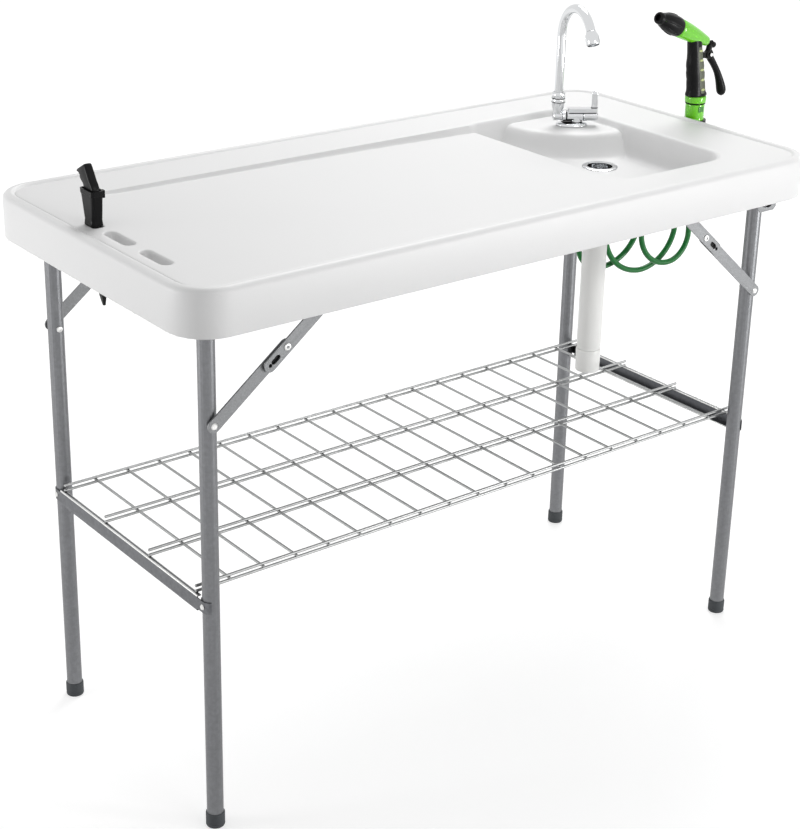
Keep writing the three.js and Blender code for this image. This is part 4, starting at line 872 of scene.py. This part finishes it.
LEGS = [f"leg_{side}_{face}" for side in ("left", "right") for face in ("front", "rear")]
LINKS = [f"{link}_link{leg[3:]}" for link in ("lower", "upper") for leg in LEGS]
# Knee of the braces: its place along the table and its height
KNEES = {"left": (-427.2, 753.7), "right": (405.95, 757.05)}
STRAP_OUT = 22.5
# The dark pad of painted shadow behind each brace's window, and the dark disc of painted shade for a hole
# below it
WINDOW_SHADOW_OUT = 18.2
WINDOW_SHADOW_REACHES = (17, 31)
WINDOW_SHADOW_HALF_WIDTH = 4.6
WINDOW_SHADOW_THICKNESS = 1.2
HOLE_SHADOW_REACH = 36
HOLE_SHADOW_RADIUS = 3.4
HOLE_SHADOW_DEPTH = 0.8
# Radius and height of a rivet's dished head
RIVET_HEAD = ((0, 0), (5.6, 0), (5.6, 0.9), (4.7, 1.8), (2.6, 2.0), (2.1, 1.3), (0, 1.3))
RIVET_END_OUT = 12.3
RIVET_END_SHARE = 0.9
PLATE_FACE = 558.3
PLATE_TOP = 388.7
PLATE_HEIGHT = 24
PLATE_END_GAP = 14
# Zinc beads of painted highlight along a rack plate's edges: in from its face, down from its top, radius, and
# how much shorter
PLATE_HIGHLIGHTS = ((0, 0.9, 1.7, 0), (5.2, 0.9, 1.1, 0.4), (13, PLATE_HEIGHT - 1, 1.2, 0.4))
FOOT_SOCKET_RADIUS = 12.95
FOOT_SOCKET_DEPTH = 6


def middle(node):
    """The middle of a solid's box, in millimetres."""
    low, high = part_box(node)
    return (low + high) / 2 / MM


def outward(leg):
    """One towards the rear for a rear leg, and minus one for a front leg."""
    return math.copysign(1, middle(leg).y)


def leg_rivet_height(leg):
    return middle(leg.replace("leg", "leg_rivet")).z


def knee(leg):
    x, z = KNEES[leg.split("_")[1]]
    return Vector((x, middle(leg).y, z))


def knee_rivet_shape(leg):
    out = Y_AXIS * outward(leg)
    return lathe(RIVET_HEAD, knee(leg) + out * STRAP_OUT, out, 28)


def window_shadow_shape(leg):
    """Painted shadow: a dark pad behind the brace's window, and a dark disc for the shade at the blind end of
    a hole.
    """
    out = Y_AXIS * outward(leg)
    rivet = Vector((middle(leg).x, middle(leg).y, leg_rivet_height(leg)))
    down = (rivet - knee(leg)).normalized()
    seat = knee(leg) + out * WINDOW_SHADOW_OUT
    across = down.cross(out) * WINDOW_SHADOW_HALF_WIDTH
    near, far = (seat + down * reach for reach in WINDOW_SHADOW_REACHES)
    corners = (near - across, far - across, far + across, near + across)
    pad = loft([[corner + out * lift for corner in corners] for lift in (0, WINDOW_SHADOW_THICKNESS)])
    hole = [(0, 0), (HOLE_SHADOW_RADIUS, 0), (HOLE_SHADOW_RADIUS, HOLE_SHADOW_DEPTH), (0, HOLE_SHADOW_DEPTH)]
    return together(pad, lathe(hole, seat + down * HOLE_SHADOW_REACH, out, 24))


def rivet_end_shape(leg):
    """The far end of the brace's rivet, on the side of the leg away from the strap."""
    back = -Y_AXIS * outward(leg)
    place_at = Vector((middle(leg).x, middle(leg).y, leg_rivet_height(leg))) + back * RIVET_END_OUT
    return lathe([(radius * RIVET_END_SHARE, height) for radius, height in RIVET_HEAD], place_at, back, 28)


def foot_shape(leg):
    foot = leg.replace("leg", "foot")
    low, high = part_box(foot)
    top = high.z / MM
    radius = (high.x - low.x) / 2 / MM
    waist = radius - 0.7
    profile = [(0, 0), (radius - 2.4, 0), (waist, 0.8), (radius, 2.4), (radius, 5), (waist, 5.8),
               (waist, 7.2), (radius, 8), (radius, top - 2.2), (radius - 0.5, top - 0.8), (radius - 1.3, top),
               (FOOT_SOCKET_RADIUS, top), (FOOT_SOCKET_RADIUS, top - FOOT_SOCKET_DEPTH),
               (0, top - FOOT_SOCKET_DEPTH)]
    return lathe(profile, (middle(foot).x, middle(foot).y, 0))


def plate_highlights_shape(side):
    """Zinc beads of painted highlight along a rack plate's top and its foot."""
    face = middle(f"leg_{side}_front")
    reach = abs(face.y) - PLATE_END_GAP
    edges = []
    for inset, drop, radius, shorter in PLATE_HIGHLIGHTS:
        x = math.copysign(PLATE_FACE - inset, face.x)
        ends = ((x, y * (reach - shorter), PLATE_TOP - drop) for y in (-1, 1))
        edges.append(wire(*ends, radius))
    return together(*edges)


class FISHTABLE_OT_frames(bpy.types.Operator):
    """Finishes the legs, pivot tubes, rails, rack plates and braces, and makes the rubber feet"""

    bl_idname = "fish_table.frames"
    bl_label = "Leg frames"

    def execute(self, context):
        for node in LEGS + ["left_pivot_tube", "right_pivot_tube"]:
            dress(node, "leg_paint")
        for node in LINKS + ["side_rail_front", "side_rail_rear"]:
            dress(node, "strap_steel", bevel=0.35)
        for side in ("left", "right"):
            dress(f"{side}_rack_plate", "plate_steel", bevel=0.35)
            # Zinc beads that paint highlights along the plate's edges
            add_piece(f"{side}_plate_highlights", plate_highlights_shape(side), f"{side}_frame", "zinc")
        for leg in LEGS:
            side = leg.split("_")[1]
            corner = leg[3:]
            for hardware in ("leg_rivet", "plate_bolt"):
                dress(hardware + corner, "zinc", bevel=0.3)
            add_piece("knee_rivet" + corner, knee_rivet_shape(leg), f"{side}_upper_links", "zinc")
            # A dark pad and disc that paint shadow in the brace's window
            add_piece("window_shadow" + corner, window_shadow_shape(leg), f"{side}_lower_links", "black_plastic",
                      slot="dark_rubber")
            add_piece("rivet_end" + corner, rivet_end_shape(leg), f"{side}_frame", "zinc")
            add_piece("rubber_foot" + corner, foot_shape(leg), f"{side}_frame", "dark_rubber",
                      "foot" + corner)
        return {"FINISHED"}


# Wire rack

RACK_LONG_YS = (-198, -66, 66, 198)
RACK_CROSS_COUNT = 18
RACK_CROSS_PITCH = 58.8
RACK_REACH = 557
RACK_CROSS_REACH = 202
# How deep the welded wires sink into each other
RACK_BITE = 0.3
CROSS_THINNER = 0.1
WIRE_TIP_SHARE = 0.4


def wire(start, end, radius):
    """A straight wire with rounded ends."""
    run = Vector(end) - Vector(start)
    length = run.length
    tip = radius * WIRE_TIP_SHARE
    profile = [(0, 0), (radius - tip, 0), (radius, tip), (radius, length - tip), (radius - tip, length),
               (0, length)]
    return lathe(profile, start, run, 12)


class FISHTABLE_OT_rack(bpy.types.Operator):
    """Makes the welded wire rack"""

    bl_idname = "fish_table.rack"
    bl_label = "Wire rack"

    def execute(self, context):
        radius = context.scene.fish_table_sizes.wire_radius / MM
        thin = radius - CROSS_THINNER
        low_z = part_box("wire_rack")[0].z / MM + radius
        cross_z = low_z + radius + thin - RACK_BITE
        high_z = cross_z + thin + radius - RACK_BITE
        wires = [wire((-RACK_REACH, y, z), (RACK_REACH, y, z), radius)
                 for y in RACK_LONG_YS for z in (low_z, high_z)]
        for index in range(RACK_CROSS_COUNT):
            x = (index - (RACK_CROSS_COUNT - 1) / 2) * RACK_CROSS_PITCH
            wires.append(wire((x, -RACK_CROSS_REACH, cross_z), (x, RACK_CROSS_REACH, cross_z), thin))
        add_piece("rack_wires", together(*wires), "rack", "wire_zinc", "wire_rack", slot="zinc")
        return {"FINISHED"}


# Drain

# Radius and height of the flange's outline, from its top seat down to its outlet and back up
FLANGE = ((31, 0), (30.6, 0.9), (29, 1.7), (25.5, 2.2), (22.6, 1.9), (21.5, 0.8), (21.5, -18.9), (16.5, -24),
          (16.5, -38), (18.5, -38), (18.5, -24), (24, -19), (24, 0))
FLANGE_RISE = 2.2
HOSE_OUTER, HOSE_NECK, HOSE_BORE = 21.5, 20.2, 18.9
DRAIN_COUNT = 56


def waste_hose_shape():
    """The hose, drawn in at its lower end where the cuff sits on it."""
    bottom, top = (corner.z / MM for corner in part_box("drain_hose"))
    profile = [(HOSE_OUTER, top), (HOSE_OUTER, top - 3), (HOSE_OUTER, bottom + 9), (21.2, bottom + 6.2),
               (HOSE_NECK, bottom + 3.4), (HOSE_NECK, bottom), (HOSE_BORE, bottom), (HOSE_BORE, top)]
    return lathe_ring(profile, (*DRAIN, 0), count=DRAIN_COUNT)


def cuff_shape():
    bottom, top = (corner.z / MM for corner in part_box("drain_hose_collar"))
    profile = [(HOSE_NECK, top), (21.6, top - 1), (22.2, top - 3.4), (21.9, bottom + 22), (21.5, bottom + 1),
               (20.9, bottom), (HOSE_BORE, bottom), (HOSE_BORE, top)]
    return lathe_ring(profile, (*DRAIN, 0), count=DRAIN_COUNT)


class FISHTABLE_OT_drain(bpy.types.Operator):
    """Makes the drain's flange, strainer, nut and hose"""

    bl_idname = "fish_table.drain"
    bl_label = "Drain"

    def execute(self, context):
        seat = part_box("drain_flange")[1].z / MM - FLANGE_RISE
        profile = [(radius, seat + height) for radius, height in FLANGE]
        rim = lathe_ring(profile, (*DRAIN, 0), count=DRAIN_COUNT)
        add_piece("drain_rim", rim, "table", "chrome", "drain_flange")
        dress("drain_strainer", "chrome", bevel=0.3)
        dress("drain_nut", "white_plastic", bevel=0.8)
        add_piece("waste_hose", waste_hose_shape(), "drain_pipe", "white_plastic", "drain_hose")
        add_piece("waste_hose_cuff", cuff_shape(), "drain_pipe", "white_plastic", "drain_hose_collar")
        return {"FINISHED"}


# Tap, in its own frame: X along the barrel, Z up from the shelf

TAP_ANGLE = math.radians(-32)
SPOUT_X = -33
SPOUT_HEADING = math.radians(16)
SPOUT_ARC = 57
SPOUT_RISE = 160
SPOUT_SWEEP = math.radians(150)
SPOUT_SEAT = 26.5
SPOUT_STEPS = 32
SPOUT_RISE_STEPS = 6
BARREL_Z = 17
BARREL = (0, 0, BARREL_Z)
BARREL_RADIUS = 9.1
BASE_X = -7
LEVER_X = 10.8
LEVER_BLADE_X = 32.4
NECK = (SPOUT_X, 0, BARREL_Z)
# Height of the base's dome, with its half length and half width there
BASE_DOME = ((0.3, 28.2, 19.7), (1.6, 28.5, 20), (3, 28.2, 19.7), (4.6, 26.8, 18.4), (5.6, 23.6, 16),
             (6, 19, 12))
# A dark oval of painted shade on top of the dome: height, half length and half width
BASE_SHADE_RING = ((5, 19.5, 12.4), (6.3, 19.2, 12), (6.9, 18, 11))
# Height of the lever's blade, with its half width and half thickness there
LEVER_BLADE = ((27, 5.4, 2.5), (32, 5.3, 2.5), (56, 5.2, 2.3), (60.6, 5, 2.1), (62, 4.2, 1.6), (62.5, 3, 1.6))
# Radius of the aerator's outline, and how far along the spout's end it is there
AERATOR = ((8.4, 0.3), (8.9, 0.9), (9.4, 3), (11, 6.2), (11.8, 8), (12, 9.4), (12, 21.6), (11.6, 22.8),
           (10.9, 23.9), (9.6, 24), (9.6, 18), (0, 18))


def tap_matrix():
    shelf = TOP_HIGH.z - bpy.context.scene.fish_table_sizes.lip_rise - SHELF_DROP * MM
    return Matrix.Translation((*mm(*TAP), shelf)) @ Matrix.Rotation(TAP_ANGLE, 4, "Z")


def spout_path():
    """The spout's centre line, straight up and over its arc, and the way that it ends."""
    forward = Vector((math.sin(SPOUT_HEADING), -math.cos(SPOUT_HEADING), 0))
    start, bend = Vector((SPOUT_X, 0, BARREL_Z + SPOUT_SEAT)), Vector((SPOUT_X, 0, SPOUT_RISE))
    points = [start.lerp(bend, step / SPOUT_RISE_STEPS) for step in range(SPOUT_RISE_STEPS)]
    for step in range(SPOUT_STEPS + 1):
        angle = SPOUT_SWEEP * step / SPOUT_STEPS
        over = forward * SPOUT_ARC * (1 - math.cos(angle))
        points.append(bend + over + Z_AXIS * SPOUT_ARC * math.sin(angle))
    return points, forward * math.sin(SPOUT_SWEEP) + Z_AXIS * math.cos(SPOUT_SWEEP)


def dome(stages):
    """An oval shape on the tap's base, through stages of height, half length and half width."""
    return loft([circle((BASE_X, 0, z), X_AXIS, Y_AXIS, long, wide, 48) for z, long, wide in stages])


def upright(x, stages, radius):
    """A block with rounded corners, through stages of height, half length and half width."""
    return loft([rounded_ring(x, 0, z, long, wide, radius, 4) for z, long, wide in stages])


def tap_base_shape():
    barrel = [(0, -24.5), (7.6, -24.5), (BARREL_RADIUS, -23), (BARREL_RADIUS, -19.4), (8.2, -18.8),
              (8.2, -17.2), (BARREL_RADIUS, -16.6), (BARREL_RADIUS, 10.8), (8.1, 12), (4, 12)]
    return together(
        dome(BASE_DOME),
        lathe([(9.2, -26), (9.2, 4), (9.2, BARREL_Z)]),
        lathe(barrel, BARREL, X_AXIS),
        lathe([(4, -33), (4, 33)], BARREL, X_AXIS, 20),
    )


def lever_shape():
    hub = [(4.4, 12.3), (8.2, 12.3), (BARREL_RADIUS, 13.2), (BARREL_RADIUS, 36.6), (8, 38), (0, 38)]
    plate = [(z, 26.8 - inset, 7.9 - inset) for z, inset in ((23.2, 0.7), (24, 0), (30.4, 0), (31.4, 0.9))]
    return together(
        lathe(hub, BARREL, X_AXIS),
        upright(LEVER_X, plate, 3),
        upright(LEVER_BLADE_X - 0.1, [(BARREL_Z + 4, 5.3, 6), (28, 5.3, 6)], 2),
        upright(LEVER_BLADE_X, LEVER_BLADE, 1.6),
    )


def base_shade_rings_shape():
    """Painted shade: a dark oval ring on top of the base's dome, and a dark ring in the barrel's groove."""
    groove = [(7.9, -19), (8.7, -18.7), (8.7, -17.3), (7.9, -17)]
    return together(dome(BASE_SHADE_RING), lathe_ring(groove, BARREL, X_AXIS))


def lever_shadow_lines_shape():
    """Painted shadow: dark lines under the lever's plate and round the foot of its blade."""
    return together(upright(LEVER_X, [(22.1, 26.3, 7.5), (23.4, 26.3, 7.5)], 3),
                    upright(LEVER_BLADE_X, [(31, 5.8, 3), (32.3, 5.8, 3)], 1.6))


def collar_shade_rings_shape():
    """Painted shade: dark rings below and above the spout's nut."""
    rings = [lathe_ring([(11, low), (wide, low + 0.1), (wide, high - 0.1), (11, high)], NECK)
             for low, high, wide in ((25.1, 26.1, 12.3), (31.7, 33.4, 11.8))]
    return together(*rings)


def spout_block_shape():
    """The short barrel that turns on the base, the neck on it and the spout's nut."""
    barrel = [(4.4, -8.2), (6.8, -8.2), (7.9, -7.1), (7.9, 7.1), (6.8, 8.2), (4.4, 8.2)]
    neck = [(6.6, 0), (7, 5), (8, 9), (10.6, 17), (12, 25.4)]
    nut = [(10.4, 25.4), (11.8, 26), (12, 27), (12, 31), (11.4, 32), (11.4, 33), (12, 34), (11.6, 43),
           (10.8, 44), (8.5, 44), (8.5, 26)]
    return together(lathe(barrel, NECK, X_AXIS), lathe(neck, NECK), lathe_ring(nut, NECK))


class FISHTABLE_OT_tap(bpy.types.Operator):
    """Makes the tap: base and barrel, lever, turning block, spout and aerator"""

    bl_idname = "fish_table.tap"
    bl_label = "Tap"

    def execute(self, context):
        matrix = tap_matrix()
        line, ahead = spout_path()
        radius = context.scene.fish_table_sizes.spout_radius / MM
        for name, shape, body, node in (
            ("tap_barrel", tap_base_shape(), "table", "tap_base"),
            ("tap_handle", lever_shape(), "lever", "tap_lever"),
            ("spout_collar", spout_block_shape(), "spout_mount", "spout_block"),
            ("spout_tube", sweep(line, [radius] * len(line), 32), "spout_arch", "spout"),
            ("spout_outlet", lathe(AERATOR, line[-1], ahead), "spout_arch", "aerator"),
        ):
            add_piece(name, shape, body, "chrome", node, matrix=matrix)
        # Dark rings and lines that paint shade at the tap's joints and in the barrel's groove
        for name, shape, body in (
            ("base_shade_rings", base_shade_rings_shape(), "table"),
            ("lever_shadow_lines", lever_shadow_lines_shape(), "lever"),
            ("collar_shade_rings", collar_shade_rings_shape(), "spout_mount"),
        ):
            add_piece(name, shape, body, "black_plastic", slot="dark_rubber", matrix=matrix)
        for node in ("tap_nut", "supply_tee"):
            dress(node, "zinc", bevel=0.5)
        return {"FINISHED"}


# Sprayer and its holder

HEAD_TILT = math.radians(23.8)
HEAD_AXIS = Vector((-math.cos(HEAD_TILT), 0, math.sin(HEAD_TILT)))
HEAD_JOINT = Vector((574.85, 15, 1042.54))
HOLDER = (634, 15)
TURNED_ON_HOLDER = {"centre": (*HOLDER, 0), "count": 48}
TRIGGER_PIN = Vector((658, 15, 985.5))
GRIP_BOTTOM = 913.8
GRIP_HEIGHT = 96
GRIP_LEAN = -14
GRIP_HALF_DEPTH = 17.5
GRIP_HALF_WIDTH = 14.3
# Above 2, this squares off the grip's oval section
GRIP_POWER = 2.3
# Height up the grip, its lean, half depth and half width there
GRIP_SHARES = (
    (0, 0, 1.18, 1.05), (0.012, 0.01, 1.24, 1.08), (0.04, 0.03, 1.22, 1.07), (0.075, 0.07, 1.1, 1.03),
    (0.12, 0.11, 1.05, 1.0), (0.2, 0.18, 1.03, 1.0), (0.26, 0.24, 1.02, 1.0), (0.31, 0.32, 0.95, 0.98),
    (0.37, 0.37, 1.01, 1.0), (0.44, 0.43, 1.03, 0.99), (0.5, 0.52, 0.94, 0.96), (0.56, 0.57, 0.99, 0.97),
    (0.63, 0.63, 0.96, 0.95), (0.7, 0.72, 0.85, 0.9), (0.8, 0.8, 0.8, 0.87), (0.93, 0.93, 0.78, 0.84),
    (1.12, 1.08, 0.8, 0.8),
)
STRIP_OFFSET = 3.2
STRIP_HALF_WIDTH = 6.8
STRIP_STEPS = 32
STRIP_SHARES = (0.06, 0.94)
STRIP_LIFT, STRIP_BITE, STRIP_EDGE_DROP = 0.55, 3, 0.35
MARK_SHARES = (0.13, 0.32, 0.51, 0.69, 0.87)
MARK_HALF_LENGTH, MARK_HALF_WIDTH = 4.6, 2.3
BUTTON = (HOLDER[0] - 1, HOLDER[1] - 16, 891)
BUTTON_HALF_LENGTH, BUTTON_HALF_WIDTH = 6.2, 5.6
# Radius and height of turned outlines, from the bottom up
CONNECTOR = ((0, 820.5), (7.2, 820.5), (8.4, 821.5), (8.4, 836.8), (15.6, 836.8), (17.3, 838.4),
             (17.3, 873.5), (16.9, 874), (16.9, 875), (17.3, 875.6), (17.3, 896.4), (16.9, 898.4),
             (15.9, 899.2), (9, 899.2), (9, 878), (0, 878))
COLLAR = ((0, 877.5), (8.2, 877.5), (8.2, 899.5), (16.2, 899.6), (17, 900.4), (17.1, 901.6), (18.6, 902.4),
          (19.2, 904), (19.2, 911.4), (18.7, 912.8), (17.6, 913.5), (0, 913.5))
CONNECTOR_SEAL = ((16, 899.7), (18.2, 899.8), (18.5, 900.7), (18.2, 901.5), (16, 901.6))
# Radius of the head's outlines, and how far along its axis each is from the joint of body and nozzle
BODY = ((0, -82), (7.6, -82), (8.8, -81), (9.5, -78), (10.7, -70), (12.3, -60), (13.8, -50), (15, -38),
        (16.1, -26), (16.7, -14), (16.8, -7), (16.5, -1.2), (15.8, 0), (0, 0))
NOZZLE = ((12, 0.3), (15.6, 0.3), (17.1, 1.6), (17.7, 6), (17.8, 12), (17.4, 22), (16.2, 31), (14.3, 38.5),
          (12.2, 45), (11.4, 47), (10.9, 47.8), (10.9, 48.8), (11, 49.6), (10.6, 54), (9.8, 55.6),
          (8.4, 56), (6.2, 56), (5.8, 50), (0, 50))
# Each rib of the nozzle: along the axis, out from it, and the rib's own radius there
RIB = ((8, 16.9, 0.4), (12, 17.7, 1.2), (20, 17.4, 1.4), (28, 16.5, 1.3), (36, 14.8, 1.0), (42, 12.9, 0.4))
RIB_COUNT = 8
# The trigger's lever and horn: run and rise from the pin, and radius there
TRIGGER_LEVER = ((-2, 3, 5.5), (2, -3, 6.6), (7.5, -10, 6.6), (14.2, -18, 6.2), (20.3, -26, 6.1),
                 (25.8, -34, 6.2), (30.2, -42, 6.7), (34.3, -50.5, 7.4), (37.7, -59, 8.2), (39.9, -65, 8.8),
                 (41.4, -71, 8.8), (42.2, -75.5, 7.6), (42.7, -78.8, 5.2), (42.9, -80.8, 1.8))
TRIGGER_HORN = ((-1, 0, 5.6), (-0.5, 7, 5.6), (1, 13, 5.4), (4, 18.5, 5), (7, 22, 3.8), (8.4, 23.4, 1.4))


def nozzle_shape():
    side, up = Y_AXIS, HEAD_AXIS.cross(Y_AXIS).normalized()
    shapes = [lathe(NOZZLE, HEAD_JOINT, HEAD_AXIS, 48)]
    for rib in range(RIB_COUNT):
        angle = TURN * rib / RIB_COUNT
        out = side * math.cos(angle) + up * math.sin(angle)
        line = [HEAD_JOINT + HEAD_AXIS * along + out * reach for along, reach, _ in RIB]
        shapes.append(sweep(line, [radius for _, _, radius in RIB], 10))
    return together(*shapes)


def grip_middle(lean, height):
    """The middle of the grip's section at shares of its lean and height."""
    return Vector((HOLDER[0] + GRIP_LEAN * lean, HOLDER[1], GRIP_BOTTOM + GRIP_HEIGHT * height))


def grip_shape():
    """The grip, with the arm and eye on it that carry the trigger's pin."""
    rings = []
    for height, lean, depth, wide in GRIP_SHARES:
        radii = (GRIP_HALF_DEPTH * depth, GRIP_HALF_WIDTH * wide)
        rings.append(circle(grip_middle(lean, height), X_AXIS, Y_AXIS, *radii, 44, GRIP_POWER))
    arm = slab((HOLDER[0] + GRIP_LEAN, HOLDER[1] - 3, 980), (TRIGGER_PIN.x - 1, HOLDER[1] + 3, 990.5))
    eye = lathe([(0, -3), (5.2, -3), (5.2, 3), (0, 3)], TRIGGER_PIN, Y_AXIS, 28)
    return together(loft(rings), arm, eye)


def grip_side(height, offset, face):
    """The place on the grip's side, at a share of its height and an offset from its middle."""
    shares = np.array(GRIP_SHARES)
    lean, depth, wide = (float(np.interp(height, shares[:, 0], shares[:, k])) for k in (1, 2, 3))
    across = min(1, abs(offset) / (GRIP_HALF_DEPTH * depth))
    reach = GRIP_HALF_WIDTH * wide * (1 - across ** GRIP_POWER) ** (1 / GRIP_POWER)
    return grip_middle(lean, height) + X_AXIS * offset + Y_AXIS * face * reach


def strip_shape():
    """The soft strips down both sides of the grip."""
    shapes = []
    for face in (-1, 1):
        rings = []
        for step in range(STRIP_STEPS + 1):
            height = STRIP_SHARES[0] + (STRIP_SHARES[1] - STRIP_SHARES[0]) * step / STRIP_STEPS
            half = STRIP_HALF_WIDTH * min(1, 0.55 + 4 * min(step, STRIP_STEPS - step) / STRIP_STEPS)
            edge = STRIP_LIFT - STRIP_EDGE_DROP
            outer = [(-1, edge), (-0.6, STRIP_LIFT), (0, STRIP_LIFT), (0.6, STRIP_LIFT), (1, edge)]
            inner = [(share, -STRIP_BITE) for share in (1, 0, -1)]
            ring = [grip_side(height, STRIP_OFFSET + half * share, face) + Y_AXIS * face * lift
                    for share, lift in outer + inner]
            rings.append(ring[::face])
        shapes.append(loft(rings))
    return together(*shapes)


def mark_shape():
    """The raised pale marks down the strips."""
    shapes = []
    for height in MARK_SHARES:
        for face in (-1, 1):
            out = Vector((0.06, face, 0)).normalized()
            rings = [circle(grip_side(height, STRIP_OFFSET, face) + out * lift, X_AXIS, Z_AXIS,
                            MARK_HALF_LENGTH * part, MARK_HALF_WIDTH * part, 20)
                     for lift, part in ((-2, 1), (0.8, 1), (1.4, 0.85), (1.7, 0.5))]
            shapes.append(loft(rings))
    return together(*shapes)


def trigger_arm(stages, count, squash):
    path = [TRIGGER_PIN + X_AXIS * run + Z_AXIS * rise for run, rise, _ in stages]
    return sweep(path, [radius for _, _, radius in stages], count, squash)


def trigger_shape():
    """The trigger: an eye on its pin, a curved lever that swells to a round tip, and a short horn."""
    eye = lathe([(0, -5), (7.6, -5), (8.8, -3.8), (8.8, 3.8), (7.6, 5), (0, 5)], TRIGGER_PIN, Y_AXIS, 32)
    return together(eye, trigger_arm(TRIGGER_LEVER, 28, 0.86), trigger_arm(TRIGGER_HORN, 24, 0.8))


def button_shape():
    """The thumb button let into the connector."""
    rings = []
    for lift, inset in ((-2, 0), (0.7, 0), (1.2, 0.6), (1.3, 1.6)):
        ring = rounded_ring(0, 0, 0, BUTTON_HALF_LENGTH - inset, BUTTON_HALF_WIDTH - inset, 2, 4)
        rings.append([Vector(BUTTON) + Vector((along, -lift, up)) for along, up, _ in ring])
    return loft(rings)


class FISHTABLE_OT_sprayer(bpy.types.Operator):
    """Makes the hand sprayer, its quick connector and the holder on the apron"""

    bl_idname = "fish_table.sprayer"
    bl_label = "Sprayer"

    def execute(self, context):
        dress("sprayer_holder", "black_plastic", bevel=0.8)
        add_piece("hose_connector", lathe(CONNECTOR, **TURNED_ON_HOLDER), "table", "lime_plastic",
                  "quick_connector")
        add_piece("connector_collar", lathe(COLLAR, **TURNED_ON_HOLDER), "sprayer", "lime_plastic",
                  "sprayer_collar")
        add_piece("grip_body", grip_shape(), "sprayer", "black_plastic", "sprayer_grip")
        add_piece("grip_strips", strip_shape(), "sprayer", "strip_rubber", slot="black_plastic")
        add_piece("grip_marks", mark_shape(), "sprayer", "pale_marks", slot="lime_plastic")
        add_piece("connector_seal", lathe_ring(CONNECTOR_SEAL, **TURNED_ON_HOLDER), "sprayer",
                  "black_plastic")
        add_piece("thumb_button", button_shape(), "table", "button_plastic", slot="lime_plastic")
        add_piece("sprayer_barrel", lathe(BODY, HEAD_JOINT, HEAD_AXIS, 48), "sprayer", "lime_plastic",
                  "sprayer_body")
        add_piece("spray_head", nozzle_shape(), "nozzle", "black_plastic", "sprayer_nozzle")
        dress("valve_rod", "black_plastic", bevel=0.4)
        add_piece("squeeze_lever", trigger_shape(), "trigger", "black_plastic", "sprayer_trigger")
        dress("trigger_pin", "zinc", bevel=0.3)
        return {"FINISHED"}


# Knife and sheath

HANDLE_Y = 46.5
HANDLE_BOTTOM = 894
HANDLE_TOP = 959.5
HANDLE_TILT = math.radians(29.4)
HANDLE_CORNER_SHARE = 0.6
# Share of the handle's height, its middle and half width along the table's width, half thickness, tilt,
# and how far its rear edge stands out there, for the finger grooves
HANDLE_STAGES = ((0, 0.4, 10.6, 5.6, 0, 1), (0.3, 1.2, 12.4, 6.1, 0, 1), (0.46, 2.3, 14.3, 6.3, 0, 1),
                 (0.54, 2.9, 15, 6.5, 0, 1), (0.59, 3.6, 15.2, 6.6, 0.04, 0.84),
                 (0.65, 6.2, 15, 6.7, 0.16, 0.74), (0.71, 9.6, 14.7, 6.8, 0.26, 0.82),
                 (0.76, 12.1, 14.6, 6.8, 0.34, 0.94), (0.8, 13.7, 14.5, 6.8, 0.42, 0.88),
                 (0.85, 15.7, 14.4, 6.8, 0.55, 0.78), (0.9, 18, 14.3, 6.8, 0.7, 0.88),
                 (0.94, 19.8, 14.2, 6.8, 0.84, 1.1), (0.97, 21, 14.2, 6.5, 0.96, 1.24),
                 (0.99, 21.6, 13.4, 6, 0.98, 1.2), (1, 21.9, 12, 5, 1, 1.1))


def handle_shape():
    """The handle, whose sections tilt more and more towards its bent butt."""
    rings = []
    for height, shift, wide, thick, tilt, edge in HANDLE_STAGES:
        centre = Vector((SLOT_X, HANDLE_Y + shift, HANDLE_BOTTOM + (HANDLE_TOP - HANDLE_BOTTOM) * height))
        angle = HANDLE_TILT * tilt
        rearward = Vector((0, math.cos(angle), -math.sin(angle)))
        ring = rounded_ring(0, 0, 0, thick, wide, thick * HANDLE_CORNER_SHARE, 5)
        rings.append([centre + X_AXIS * x + rearward * y * (edge if y > 0 else 1) for x, y, _ in ring])
    return loft(rings)


class FISHTABLE_OT_knife(bpy.types.Operator):
    """Finishes the knife and its sheath"""

    bl_idname = "fish_table.knife"
    bl_label = "Knife"

    def execute(self, context):
        dress("knife_sheath", "black_plastic", bevel=0.6)
        add_piece("handle_grip", handle_shape(), "knife", "black_plastic", "knife_handle")
        dress("knife_blade", "blade_steel", bevel=0.2)
        return {"FINISHED"}


class FISHTABLE_PT_panel(bpy.types.Panel):
    """Lists the table's pieces, sizes and colours"""

    bl_idname = "FISHTABLE_PT_panel"
    bl_label = "Fish cleaning table"
    bl_space_type = "VIEW_3D"
    bl_region_type = "UI"
    bl_category = "Fish Table"

    def draw(self, context):
        column = self.layout.column()
        for operator in OPERATORS:
            column.operator(operator.bl_idname)
        for holder in (context.scene.fish_table_sizes, context.scene.fish_table_colours):
            for key in holder.bl_rna.properties.keys():
                if key not in {"rna_type", "name"}:
                    column.prop(holder, key)


OPERATORS = (
    FISHTABLE_OT_stage,
    FISHTABLE_OT_spray_hose,
    FISHTABLE_OT_top,
    FISHTABLE_OT_frames,
    FISHTABLE_OT_rack,
    FISHTABLE_OT_drain,
    FISHTABLE_OT_tap,
    FISHTABLE_OT_sprayer,
    FISHTABLE_OT_knife,
)
CLASSES = (FishTableSizes, FishTableColours, *OPERATORS, FISHTABLE_PT_panel)


def register():
    for cls in CLASSES:
        bpy.utils.register_class(cls)
    bpy.types.Scene.fish_table_sizes = bpy.props.PointerProperty(type=FishTableSizes)
    bpy.types.Scene.fish_table_colours = bpy.props.PointerProperty(type=FishTableColours)


def unregister():
    del bpy.types.Scene.fish_table_colours
    del bpy.types.Scene.fish_table_sizes
    for cls in reversed(CLASSES):
        bpy.utils.unregister_class(cls)


def main():
    """Builds the whole table and the stage."""
    register()
    for operator in OPERATORS:
        action = operator.bl_idname.split(".")[1]
        getattr(bpy.ops.fish_table, action)()


if __name__ == "__main__":
    main()
